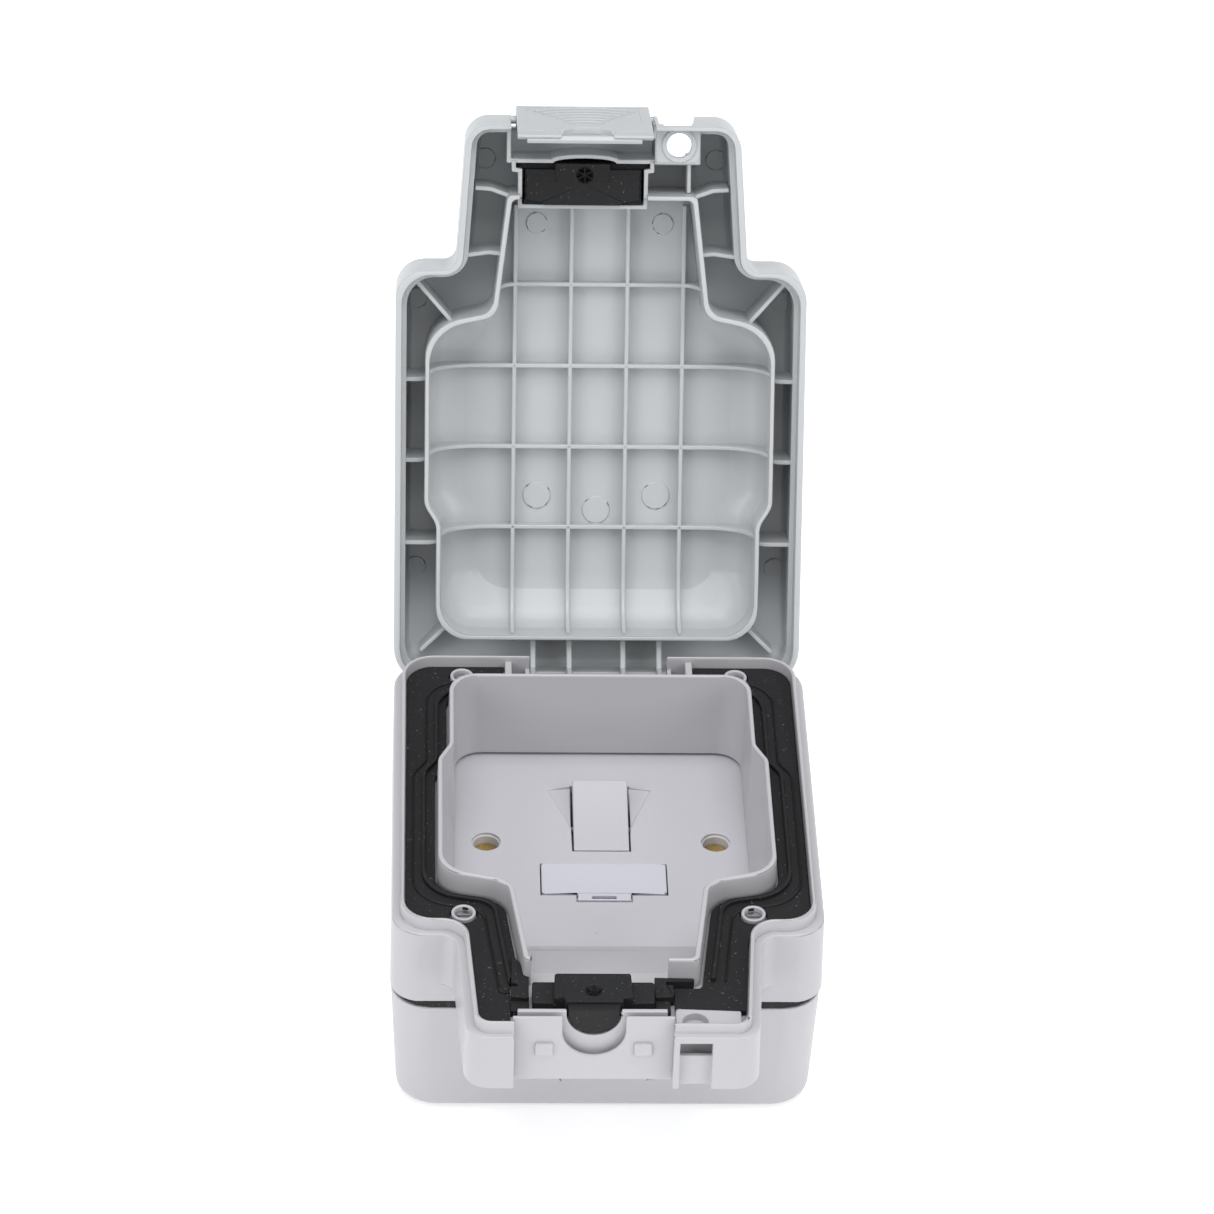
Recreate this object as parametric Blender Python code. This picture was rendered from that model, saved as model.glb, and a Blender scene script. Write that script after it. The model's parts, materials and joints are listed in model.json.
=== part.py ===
"""Weatherproof fused switch (AC disconnect) with a hinged lid, modelled in metres, +Z up.

The box lies on its back. X runs across it, +Y points to the hinge, and +Z points away from the
wall that the back face meets. The origin is the centre of the back face. All sizes below are in
millimetres and become metres where the meshes are made.
"""
import math

import bmesh
import bpy
from mathutils import Vector

MM = 0.001                     # millimetre in metres
PART_NAME = "ac_disconnect_box"
GAP = 0.3                      # clearance between pieces that meet
ARC = 4                        # steps of a rounded corner
ROUND = 16                     # sides of a small round piece

# Plan of the front: a wide part with a narrower neck that holds the latch.
WIDE_X, WIDE_Y = 54.4, 56.3            # half width and half length of the wide part
NECK_ROOT_X, NECK_END_X = 38.5, 35.8   # half width of the neck at its root and end
NECK_Y = 95.2                          # distance of the neck's end from the centre
CORNER_R, ROOT_R, NECK_R = 10.0, 4.0, 6.0

# Heights above the wall.
BACK_Z = 0.9                   # back panel, raised on its pads
FLOOR_Z = 3.4
BOX_TOP_Z = 36.1
FRAME_Z = 38.6                 # underside of the front frame
LEDGE_Z = 60.4                 # ledge that the lid's edge meets
RIM_Z = 64.0                   # top of the upstand inside the lid's edge
DECK_Z = (56.6, 59.1)          # plate under the face gasket
COLLAR_Z = (41.8, 67.5)        # wall around the switch plate
NECK_FLOOR_Z = (44.1, 46.0)
PLATE_Z = (38.4, 41.0)

# Walls of the front frame, as insets from the plan in X and Y.
UPSTAND_IN = (2.0, 1.5)
RIM_IN = (3.0, 2.4)
WALL_IN = (3.4, 3.0)

# Hinge and latch, in closed coordinates.
HINGE_Y, HINGE_Z = 55.1, 53.0
LID_OPEN = -114.4              # degrees from closed to the open stop
PIN_R = 1.3
LUG_X = (7.3, 17.1)            # the lid's lugs, each side of the middle
POCKET_X, POCKET_Y, POCKET_Z = 23.2, 49.0, 47.0
EAR_X = 19.6
LATCH_X = (-24.3, 14.9)        # recess that the latch covers
LATCH_MID = sum(LATCH_X) / 2
CLIP_PIVOT = (-94.8, 78.4)
LATCH_FACE_Y = 92.0            # face of the recess
CATCH_Y = 92.8                 # face of the catches
CLIP_ROOM_X = (-24.4, 13.8)    # room for the clip in the lid
TAB_X, TAB_Y = (14.9, 24.8), -86.6     # notch above the padlock tab
TAB_Z = (64.4, 66.6)
PADLOCK = (20.2, -89.6)
NOTCH = (59.5, 7.8)            # height of the cable notch's centre, and its radius
TONGUE = (63.4, 6.7)           # the same for the rubber tongue that closes it

# Lid, closed.
LID_RIM_Z = LEDGE_Z + GAP
LID_TOP_Z = 84.4
LID_SKIN = 2.4
SEAL_EDGE_Z = 62.5
RIB_X = (7.6, 22.7)
RIB_Y = (-50.4, -28.2, -6.0, 16.2)
SIDE_RIB_Y = (-26.2, -4.2, 18.4)
RIB_T = 1.1

# Fixings.
FRAME_SCREW = (36.5, 49.0)
PLATE_SCREW = (30.15, 4.3)     # half of the standard 60.3 mm between fixings
BOSS_R, BOSS_BORE_R = 3.1, 2.3

# Switch and fuse.
ROCKER_X, ROCKER_Y = (-7.3, 7.5), (0.7, 27.5)
ROCKER_PIVOT = (14.1, 36.8)
ROCKER_REST = 9.5
FUSE_X, FUSE_Y = (-15.9, 16.6), (-17.2, -5.0)
FUSE_MID = (sum(FUSE_X) / 2, sum(FUSE_Y) / 2)
KNOCKOUT_Z, KNOCKOUT_R = 18.4, 14.4
TERMINALS = {"supply_live": (-18.6, 28.5), "supply_neutral": (-9.3, 28.5), "earth": (0.0, 28.5),
             "load_neutral": (9.3, 28.5), "load_live": (18.6, 28.5)}

# Colours: linear base colour, roughness, metallic.
FINISHES = {
    "base_plastic": ((0.62, 0.61, 0.62), 0.42, 0.0),
    "lid_plastic": ((0.55, 0.57, 0.58), 0.4, 0.0),
    "plate_plastic": ((0.66, 0.65, 0.67), 0.35, 0.0),
    "carrier_plastic": ((0.68, 0.68, 0.74), 0.35, 0.0),
    "module_plastic": ((0.5, 0.5, 0.5), 0.5, 0.0),
    "rubber": ((0.02, 0.02, 0.022), 0.7, 0.0),
    "brass": ((0.7, 0.5, 0.2), 0.3, 1.0),
    "steel": ((0.6, 0.6, 0.62), 0.3, 1.0),
    "ceramic": ((0.75, 0.73, 0.68), 0.5, 0.0),
}


class Space:
    """Where pieces are made: an optional parent empty and its place in closed coordinates."""

    def __init__(self, parent=None, origin=(0, 0, 0)):
        self.parent = parent
        self.origin = Vector(origin)


BASE = Space()


# ---------------------------------------------------------------- scene helpers

def clear_scene():
    for obj in list(bpy.data.objects):
        bpy.data.objects.remove(obj)


def new_collection(name):
    made = bpy.data.collections.new(name)
    bpy.context.scene.collection.children.link(made)
    return made


def make_materials():
    made = {}
    for name, (colour, roughness, metallic) in FINISHES.items():
        mat = bpy.data.materials.new(name)
        mat.use_nodes = True
        shader = mat.node_tree.nodes["Principled BSDF"]
        shader.inputs["Base Color"].default_value = (*colour, 1.0)
        shader.inputs["Roughness"].default_value = roughness
        shader.inputs["Metallic"].default_value = metallic
        made[name] = mat
    return made


def place(name, bm, space, finish=None):
    """Turn a bmesh in millimetres, closed coordinates, into an object. No finish makes a cutter."""
    bmesh.ops.recalc_face_normals(bm, faces=bm.faces)
    bmesh.ops.translate(bm, vec=-space.origin, verts=bm.verts)
    bmesh.ops.scale(bm, vec=(MM, MM, MM), verts=bm.verts)
    mesh = bpy.data.meshes.new(name)
    bm.to_mesh(mesh)
    bm.free()
    mesh.shade_smooth()
    mesh.set_sharp_from_angle(angle=math.radians(30))
    obj = bpy.data.objects.new(name, mesh)
    obj.parent = space.parent
    if finish is None:
        obj.hide_render = True
        obj.display_type = "WIRE"
        cutters.objects.link(obj)
    else:
        mesh.materials.append(materials[finish])
        parts.objects.link(obj)
    return obj


def combine(target, tool, operation):
    step = target.modifiers.new(tool.name, "BOOLEAN")
    step.operation = operation
    step.solver = "EXACT"
    step.object = tool


def cut(target, *tools):
    for tool in tools:
        combine(target, tool, "DIFFERENCE")


def join(target, *tools):
    for tool in tools:
        combine(target, tool, "UNION")


def empty_at(name, position, tilt, parent=None, parent_origin=(0, 0, 0)):
    """Empty on a joint's axis; tilt is its rest angle about X, in degrees."""
    axis = bpy.data.objects.new(name, None)
    axis.location = (Vector(position) - Vector(parent_origin)) * MM
    axis.rotation_euler.x = math.radians(tilt)
    axis.parent = parent
    parts.objects.link(axis)
    return axis


# ---------------------------------------------------------------- shape helpers

def rounded(corners, steps=ARC):
    """Closed outline from (x, y, radius) corners, each one an arc of equal steps."""
    outline = []
    for i, (x, y, radius) in enumerate(corners):
        corner = Vector((x, y))
        back = Vector(corners[i - 1][:2]) - corner
        ahead = Vector(corners[(i + 1) % len(corners)][:2]) - corner
        half = back.angle(ahead) / 2
        reach = min(radius / math.tan(half), 0.49 * back.length, 0.49 * ahead.length)
        radius = reach * math.tan(half)
        centre = corner + (back.normalized() + ahead.normalized()).normalized() * radius / math.sin(half)
        spoke = corner + back.normalized() * reach - centre
        turn = math.pi - 2 * half
        if (-back).cross(ahead) < 0:
            turn = -turn
        for step in range(steps + 1):
            angle = turn * step / steps
            outline.append((centre.x + spoke.x * math.cos(angle) - spoke.y * math.sin(angle),
                            centre.y + spoke.x * math.sin(angle) + spoke.y * math.cos(angle)))
    return outline


def loft(sections, ring=False):
    """Skin over (outline, z) sections: capped at both ends, or closed on itself as a ring."""
    bm = bmesh.new()
    rows = [[bm.verts.new((x, y, z)) for x, y in outline] for outline, z in sections]
    pairs = list(zip(rows, rows[1:]))
    if ring:
        pairs.append((rows[-1], rows[0]))
    else:
        bm.faces.new(rows[0])
        bm.faces.new(rows[-1])
    count = len(rows[0])
    for low, high in pairs:
        for i in range(count):
            j = (i + 1) % count
            bm.faces.new((low[i], low[j], high[j], high[i]))
    return bm


def slab(outline, low, high):
    return loft([(outline, low), (outline, high)])


def rectangle(x, y, radius, centre=(0, 0), steps=ARC):
    """Rounded rectangle of half sizes x and y."""
    cx, cy = centre
    return rounded([(cx + x, cy + y, radius), (cx - x, cy + y, radius),
                    (cx - x, cy - y, radius), (cx + x, cy - y, radius)], steps)


def block(low, high):
    bm = bmesh.new()
    bmesh.ops.create_cube(bm, size=1)
    bmesh.ops.scale(bm, vec=Vector(high) - Vector(low), verts=bm.verts)
    bmesh.ops.translate(bm, vec=(Vector(low) + Vector(high)) / 2, verts=bm.verts)
    return bm


def rod(start, end, radius, end_radius=None, sides=ROUND):
    """Cylinder or cone between two points."""
    start, end = Vector(start), Vector(end)
    bm = bmesh.new()
    bmesh.ops.create_cone(bm, cap_ends=True, segments=sides, radius1=radius,
                          radius2=radius if end_radius is None else end_radius,
                          depth=(end - start).length)
    turn = Vector((0, 0, 1)).rotation_difference(end - start)
    bmesh.ops.rotate(bm, verts=bm.verts, matrix=turn.to_matrix())
    bmesh.ops.translate(bm, vec=(start + end) / 2, verts=bm.verts)
    return bm


def prism(profile, low, high):
    """Outline in (y, z) drawn out along X."""
    bm = bmesh.new()
    rows = [[bm.verts.new((x, y, z)) for y, z in profile] for x in (low, high)]
    for row in rows:
        bm.faces.new(row)
    for i in range(len(profile)):
        j = (i + 1) % len(profile)
        bm.faces.new((rows[0][i], rows[0][j], rows[1][j], rows[1][i]))
    return bm


def mirror_pair(function, *args):
    """Call function(side, ...) for the left and the right side."""
    for side in (-1, 1):
        function(side, *args)


def side_name(side):
    return "left" if side < 0 else "right"


# ---------------------------------------------------------------- outlines

def plan_outline(inset_x=0.0, inset_y=0.0, steps=ARC):
    """The wide part with its neck, inset by the given amounts."""
    grow = (inset_x + inset_y) / 2
    half = [(WIDE_X - inset_x, -WIDE_Y + inset_y, max(CORNER_R - grow, 1)),
            (WIDE_X - inset_x, WIDE_Y - inset_y, max(CORNER_R - grow, 1))]
    neck = [(NECK_END_X - inset_x, -NECK_Y + inset_y, max(NECK_R - grow, 1)),
            (NECK_ROOT_X - inset_x, -WIDE_Y + inset_y, ROOT_R + grow)]
    right = neck + half
    left = [(-x, y, r) for x, y, r in reversed(right)]
    return rounded(right + left, steps)


def collar_outline(grow=0.0, far_y=42.4, end_y=74.2, steps=ARC):
    """Waisted outline around the switch plate, narrowing into the neck."""
    right = [(21.6 + grow, -end_y - grow, 1.5), (25.4 + grow, -44.0 - grow, 6), (42.9 + grow, -39.6 - grow, 8),
             (42.9 + grow, 6.0, 5), (39.9 + grow, 12.4, 5), (39.9 + grow, far_y + grow, 7)]
    left = [(-x, y, r) for x, y, r in reversed(right)]
    return rounded(right + left, steps)


def collar_foot(grow=0.0, steps=ARC):
    """Foot of the collar: narrower, with a straight side, so its walls lean inwards."""
    right = [(20.6 + grow, -74.2 - grow, 1.5), (22.6 + grow, -39.0 - grow, 6), (38.4 + grow, -34.4 - grow, 8),
             (38.3 + grow, 6.0, 5), (38.2 + grow, 12.4, 5), (38.2 + grow, 40.8 + grow, 7)]
    left = [(-x, y, r) for x, y, r in reversed(right)]
    return rounded(right + left, steps)


def seal_wall_outline(grow=0.0, steps=ARC):
    """The lid's sealing wall, and the gasket's lip below it."""
    right = [(24.6 + grow, -76.0 - grow, 1.5), (28.4 + grow, -44.4 - grow, 5), (46.2 + grow, -40.6 - grow, 11),
             (46.2 + grow, 7.4, 6), (42.9 + grow, 12.6, 6), (42.9 + grow, 43.7 + grow, 9)]
    left = [(-x, y, r) for x, y, r in reversed(right)]
    return rounded(right + left, steps)


# ---------------------------------------------------------------- back box

def back_box():
    def section(x, y, r, z):
        return rectangle(x, y, r), z
    body = place("back_box", loft([
        section(50.6, 52.3, 8, BACK_Z), section(52.6, 54.3, 9.5, BACK_Z + 1), section(53.4, 55.1, 10, BACK_Z + 3.2),
        section(54.7, 56.6, 10, BOX_TOP_Z)]), BASE, "base_plastic")
    cut(body, place("box_hollow", loft([
        section(50.4, 52.1, 7.5, FLOOR_Z), section(52.0, 53.9, 7.5, BOX_TOP_Z + 1)]), BASE))
    x, y = FRAME_SCREW
    for sx in (-1, 1):
        for sy in (-1, 1):
            join(body, place("pad", block((sx * 41 - 6, sy * 45 - 5, 0), (sx * 41 + 6, sy * 45 + 5, 2)), BASE))
            pillar = place("pillar", rod((sx * x, sy * y, FLOOR_Z - 1), (sx * x, sy * y, BOX_TOP_Z), 4.4), BASE)
            join(body, pillar)
            cut(body, place("pillar_bore", rod((sx * x, sy * y, 20), (sx * x, sy * y, 40), 2.5), BASE))
            cut(body, place("wall_hole", rod((sx * 30, sy * 38, -1), (sx * 30, sy * 38, 5), 2.4), BASE))
    join(body, place("centre_pad", rod((0, 0, 0), (0, 0, 2), 9), BASE))
    for sx in (-1, 1):
        foot = (sx * PLATE_SCREW[0], PLATE_SCREW[1])
        join(body, place("post", rod((*foot, FLOOR_Z - 1), (*foot, 30), 4.2), BASE))
        cut(body, place("post_bore", rod((*foot, 16), (*foot, 34), 2.5), BASE))
    for dx, dy in ((0, -1), (0, 1), (-1, 0), (1, 0)):
        knockout(body, dx, dy)


def knockout(body, dx, dy):
    """Ring groove outside and thinned disc inside, on the wall that faces (dx, dy)."""
    def at(distance):
        return (dx * distance, dy * distance, KNOCKOUT_Z)
    wall = 53.9 if dx else 55.8
    ring = place("knockout_ring", rod(at(wall - 0.4), at(wall + 4), KNOCKOUT_R, sides=20), BASE)
    keep = place("knockout_disc", rod(at(wall - 3), at(wall + 5), KNOCKOUT_R - 1.1, sides=20), BASE)
    cut(ring, keep)
    cut(body, ring)
    cut(body, place("knockout_back", rod(at(wall - 6), at(wall - 1.5), KNOCKOUT_R - 2, sides=20), BASE))


def brass_insert(name, x, y, top):
    """Threaded brass bush held in a post."""
    bush = place(name, rod((x, y, top - 8), (x, y, top - 0.4), 2.35, sides=12), BASE, "brass")
    cut(bush, place(name + "_thread", rod((x, y, top - 9), (x, y, top + 1), 1.75, sides=12), BASE))


def screw(name, x, y, head_z, tip_z, head_r, shank_r, finish):
    """Slotted screw, head up."""
    body = place(name, rod((x, y, tip_z), (x, y, head_z - 1), shank_r, sides=12), BASE, finish)
    join(body, place(name + "_head", rod((x, y, head_z - 2), (x, y, head_z), head_r, sides=16), BASE))
    cut(body, place(name + "_slot", block((x - 4, y - 0.4, head_z - 0.9), (x + 4, y + 0.4, head_z + 1)), BASE))


def box_gasket():
    outer, inner = rectangle(54.4, 56.3, 10), rectangle(52.4, 54.3, 8)
    low, high = BOX_TOP_Z + 0.25, FRAME_Z - 0.25
    place("box_gasket", loft([(outer, low), (outer, high), (inner, high), (inner, low)], ring=True), BASE, "rubber")


# ---------------------------------------------------------------- front frame

def front_frame():
    upstand, rim = plan_outline(*UPSTAND_IN), plan_outline(*RIM_IN)
    frame = place("front_frame", loft([
        (plan_outline(-0.5, -0.5), FRAME_Z), (plan_outline(), LEDGE_Z), (upstand, LEDGE_Z), (upstand, RIM_Z)]),
        BASE, "base_plastic")
    cut(frame, place("gasket_well", slab(rim, DECK_Z[1], RIM_Z + 1), BASE))
    cut(frame, place("under_deck", slab(rectangle(51.4, 53.2, 7), FRAME_Z - 1, DECK_Z[0]), BASE))
    neck_under = block((-60, -NECK_Y - 5, FRAME_Z - 1), (60, -WIDE_Y - 0.4, NECK_FLOOR_Z[0]))
    cut(frame, place("neck_underside", neck_under, BASE))
    neck_room = slab(rounded([(32.0, -50, 0.5), (-32.0, -50, 0.5), (-31.5, -88.5, 3), (31.5, -88.5, 3)]),
                     NECK_FLOOR_Z[1], DECK_Z[0])
    cut(frame, place("neck_room", neck_room, BASE))
    collar = place("collar", loft([(collar_foot(1.2), COLLAR_Z[0]), (collar_outline(0.4), DECK_Z[0]),
                                   (collar_outline(), COLLAR_Z[1])]), BASE)
    join(frame, collar)
    cut(frame, place("collar_room", loft([(collar_foot(), COLLAR_Z[0] - 4), (collar_foot(), COLLAR_Z[0]),
                                          (collar_outline(-1.2, end_y=74.9), COLLAR_Z[1] + 1)]), BASE))
    cable_ramp(frame)
    neck_front(frame)
    hinge_pocket(frame)
    x, y = FRAME_SCREW
    for sx in (-1, 1):
        for sy in (-1, 1):
            join(frame, place("boss", rod((sx * x, sy * y, FRAME_Z), (sx * x, sy * y, 61.6), BOSS_R), BASE))
            cut(frame, place("boss_head", rod((sx * x, sy * y, 44), (sx * x, sy * y, 63), BOSS_BORE_R), BASE))
            cut(frame, place("boss_shank", rod((sx * x, sy * y, FRAME_Z - 2), (sx * x, sy * y, 45), 2.0), BASE))


def cable_ramp(frame):
    """Sloping floor from the plate up to the cable seal, and the opening above the seal."""
    profile = [(-38.8, 41.8), (-76.5, 59.0), (-78.0, 59.0), (-78.0, 56.6), (-44.0, 41.8)]
    join(frame, place("ramp", prism(profile, -21.6, 21.6), BASE))
    cut(frame, place("seal_seat", block((-25.6, -86.7, DECK_Z[1] - 0.2), (14.6, -72.7, RIM_Z + 8)), BASE))


def neck_front(frame):
    """Recess that the latch closes on, with its catches, the cable notch and the padlock pad."""
    low, high = LATCH_X
    cut(frame, place("latch_recess", block((low, -NECK_Y - 2, 41), (high, -LATCH_FACE_Y, 70)), BASE))
    cut(frame, place("neck_cavity", block((low + 0.6, -90.8, DECK_Z[0] - 1), (high - 1.4, -87.6, 70)), BASE))
    for x in (LATCH_MID - 12.2, LATCH_MID + 12.2):
        join(frame, place("catch", block((x - 2.2, -CATCH_Y, 51.8), (x + 2.2, -LATCH_FACE_Y + 0.5, 56.1)), BASE))
    inner = place("inner_plate", block((low + 0.8, -88.0, DECK_Z[0] - 2), (high - 1.5, -86.4, 62.6)), BASE)
    join(frame, inner)
    cut(frame, *u_notch("inner_notch", TONGUE[0], TONGUE[1] + GAP, -85.7, -89.0))
    cut(frame, *u_notch("cable_notch", *NOTCH, -90.6, -96.0))
    join(frame, place("padlock_pad", block((15.8, -93.4, 58.0), (31.6, -86.0, 61.3)), BASE))
    cut(frame, place("padlock_hole", rod((*PADLOCK, 40), (*PADLOCK, 64), 3.2), BASE))
    cut(frame, place("padlock_slot", block((16.4, -NECK_Y - 2, 40), (24.4, -NECK_Y + 1.8, 58.6)), BASE))
    cut(frame, place("padlock_window", block((16.4, -NECK_Y - 2, 53.4), (24.4, -91.0, 58.6)), BASE))


def u_notch(name, height, radius, start, end):
    """Cutters for a round-bottomed notch that is open at the top, between two distances along Y."""
    bottom = rod((LATCH_MID, start, height), (LATCH_MID, end, height), radius, sides=24)
    top = block((LATCH_MID - radius, end, height), (LATCH_MID + radius, start, 72))
    return place(name, bottom, BASE), place(name + "_top", top, BASE)


def hinge_pocket(frame):
    """Pocket in the far side with the ears that hold the hinge pins."""
    cut(frame, place("pocket", block((-POCKET_X, POCKET_Y, POCKET_Z), (POCKET_X, 53.4, 70)), BASE))
    cut(frame, place("pocket_mouth", block((-EAR_X + 1.2, 52, POCKET_Z), (EAR_X - 1.2, 60, 70)), BASE))
    join(frame, place("pocket_wall", block((-25, 47.6, 45), (25, POCKET_Y, 60)), BASE))
    join(frame, place("pocket_floor", block((-25, 47.6, POCKET_Z - 2), (25, 55.0, POCKET_Z)), BASE))
    for side in (-1, 1):
        ear = sorted((side * EAR_X, side * (EAR_X - 1.2)))
        cheek = sorted((side * POCKET_X, side * (POCKET_X + 1.8)))
        join(frame, place("ear", block((ear[0], 48.5, POCKET_Z - 1), (ear[1], 56.6, 60.2)), BASE))
        join(frame, place("cheek", block((cheek[0], 45.4, POCKET_Z - 1), (cheek[1], 54.5, RIM_Z - 1.5)), BASE))
        bore = rod((side * 5, HINGE_Y, HINGE_Z), (side * 25.4, HINGE_Y, HINGE_Z), PIN_R + GAP, sides=12)
        cut(frame, place("pin_bore", bore, BASE))


def hinge_pin(side):
    ends = (side * 5.9, HINGE_Y, HINGE_Z), (side * 23.0, HINGE_Y, HINGE_Z)
    place("hinge_pin_" + side_name(side), rod(*ends, PIN_R, sides=12), BASE, "steel")


def face_gasket():
    """Rubber sheet around the collar, with the raised lip that meets the lid's sealing wall."""
    low, high = DECK_Z[1] + 0.25, 60.9
    sheet = place("face_gasket", slab(plan_outline(RIM_IN[0] + GAP, RIM_IN[1] + GAP), low, high), BASE, "rubber")
    lip_out, lip_in = seal_wall_outline(0.9), seal_wall_outline(-0.1)
    join(sheet, place("lip", loft([(lip_out, high - 0.5), (lip_out, high + 1.2), (lip_in, high + 1.2),
                                   (lip_in, high - 0.5)], ring=True), BASE))
    cut(sheet, place("gasket_middle", slab(collar_outline(0.8, end_y=76.4), low - 1, high + 3), BASE))
    cut(sheet, place("gasket_hinge_gap", block((-25.4, 45.0, low - 1), (25.4, 60, high + 3)), BASE))
    cut(sheet, place("gasket_seal_gap", block((-25.2, -98, low - 1), (40, -74.6, high + 3)), BASE))
    x, y = FRAME_SCREW
    for sx in (-1, 1):
        for sy in (-1, 1):
            cut(sheet, place("gasket_hole", rod((sx * x, sy * y, 58), (sx * x, sy * y, 63), BOSS_R + 0.4), BASE))


def cable_seal():
    """Rubber bridge across the cable way with its round tongue in the notch."""
    low = DECK_Z[1] + 0.25
    seal = place("cable_seal", block((-20.2, -86.2, low), (10.2, -78.6, 64.0)), BASE, "rubber")
    join(seal, place("seal_ridge", block((-14.8, -86.2, 63), (5.0, -76.6, 65.4)), BASE))
    height, radius = TONGUE
    tongue = place("tongue", rod((LATCH_MID, -86.0, height), (LATCH_MID, -87.8, height), radius, sides=24), BASE)
    cut(tongue, place("tongue_trim", block((-20, -95, 64.8), (20, -80, 72)), BASE))
    join(seal, tongue)
    cut(seal, place("dimple", rod((LATCH_MID, -82.5, 64.6), (LATCH_MID, -82.5, 67), 1.6, 2.8, 16), BASE))


def seal_corner(side):
    """Rubber corner block at each end of the cable seal."""
    x0, x1 = (-25.2, -20.5) if side < 0 else (10.5, 14.4)
    low = DECK_Z[1] + 0.25
    place("seal_corner_" + side_name(side), block((x0, -86.2, low), (x1, -77.9, 63.4)), BASE, "rubber")


# ---------------------------------------------------------------- switch plate and module

def accessory_plate():
    plate = place("accessory_plate", slab(rounded([(43.5, 44.6, 5), (-43.5, 44.6, 5), (-43.5, -38, 5),
                                                   (-24, -46, 3), (24, -46, 3), (43.5, -38, 5)]), *PLATE_Z),
                  BASE, "plate_plastic")
    z0, z1 = PLATE_Z
    for side in (-1, 1):
        x, y = side * PLATE_SCREW[0], PLATE_SCREW[1]
        join(plate, place("sleeve", rod((x, y, 30.6), (x, y, z1 - 1), 5.0), BASE))
        cut(plate, place("screw_well", rod((x, y, 33.4), (x, y, z1 + 1), 3.75), BASE))
        cut(plate, place("screw_way", rod((x, y, 29), (x, y, 35), 2.0), BASE))
    (x0, x1), (y0, y1) = ROCKER_X, ROCKER_Y
    cut(plate, place("rocker_window", block((x0 - GAP, y0 - GAP, z0 - 3), (x1 + GAP, y1 + GAP, z1 + 1)), BASE))
    (x0, x1), (y0, y1) = FUSE_X, FUSE_Y
    cut(plate, place("fuse_window", block((x0 - GAP, y0 - GAP, z0 - 3), (x1 + GAP, y1 + GAP, z1 + 1)), BASE))
    cut(plate, place("fuse_notch", block((-6.9, y0 - 3.0, z1 - 0.9), (7.6, y0 + 1, z1 + 1)), BASE))


def module_body():
    """Moulded body behind the plate that holds the contacts, fuse clips and terminals."""
    top, bottom = PLATE_Z[0] - GAP, 15.0
    body = place("module_body", slab(rectangle(24.4, 31.5, 2, (0, 5.5), 2), bottom, top), BASE, "module_plastic")
    cut(body, place("rocker_well", block((-8.4, -0.4, 24.0), (8.6, 28.6, top + 1)), BASE))
    cut(body, place("fuse_well", block((-17.0, -18.0, 19.0), (17.7, -4.2, top + 1)), BASE))
    for x, y in TERMINALS.values():
        cut(body, place("terminal_pocket", block((x - 3.6, y - 4.6, bottom - 1), (x + 3.6, y + 4.6, 23)), BASE))


def terminal(name, x, y):
    """Brass block with a cable hole and its clamp screw."""
    block_name = "terminal_" + name
    body = place(block_name, block((x - 3.2, y - 4.2, 14.0), (x + 3.2, y + 4.2, 22.6)), BASE, "brass")
    cut(body, place(block_name + "_way", rod((x, y - 6, 18.8), (x, y + 6, 18.8), 1.9, sides=12), BASE))
    cut(body, place(block_name + "_thread", rod((x, y, 12), (x, y, 18), 1.75, sides=12), BASE))
    grip = place(block_name + "_screw", rod((x, y, 11.6), (x, y, 17.2), 1.5, sides=12), BASE, "steel")
    cut(grip, place(block_name + "_slot", block((x - 3, y - 0.3, 11), (x + 3, y + 0.3, 12.5)), BASE))


def rocker(space):
    """Rocker in its level position; its empty tilts it to rest."""
    (x0, x1), (y0, y1) = ROCKER_X, ROCKER_Y
    x0, x1, y0, y1 = x0 + 0.15, x1 - 0.15, y0 + 1.0, y1 - 1.0
    pivot_y, pivot_z = ROCKER_PIVOT
    top = 43.0
    profile = [(y0, top), (y1, top), (y1 - 0.9, 38.6), (pivot_y + 3.2, 35.8), (pivot_y + 1.6, 31.5),
               (pivot_y - 1.6, 31.5), (pivot_y - 3.2, 35.8), (y0 + 0.9, 38.6)]
    body = place("rocker_switch", prism(profile, x0, x1), space, "plate_plastic")
    cut(body, place("rocker_bore", rod((x0 - 1, pivot_y, pivot_z), (x1 + 1, pivot_y, pivot_z), 1.3, sides=12), space))


def switch_parts(contact_space):
    pivot_y, pivot_z = ROCKER_PIVOT
    place("rocker_pin", rod((-8.1, pivot_y, pivot_z), (8.3, pivot_y, pivot_z), 1.0, sides=12), BASE, "steel")
    contact = place("moving_contact", block((-1.8, pivot_y - 7.5, 28.2), (1.8, pivot_y + 7.5, 29.4)),
                    contact_space, "brass")
    for side in (-1, 1):
        y = pivot_y + side * 6.4
        join(contact, place("contact_tip", rod((0, y, 27.2), (0, y, 28.8), 1.3, sides=12), contact_space))
        place("fixed_contact_" + ("near" if side < 0 else "far"),
              rod((0, y, 24.3), (0, y, 25.2), 1.6, sides=12), BASE, "brass")


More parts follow.
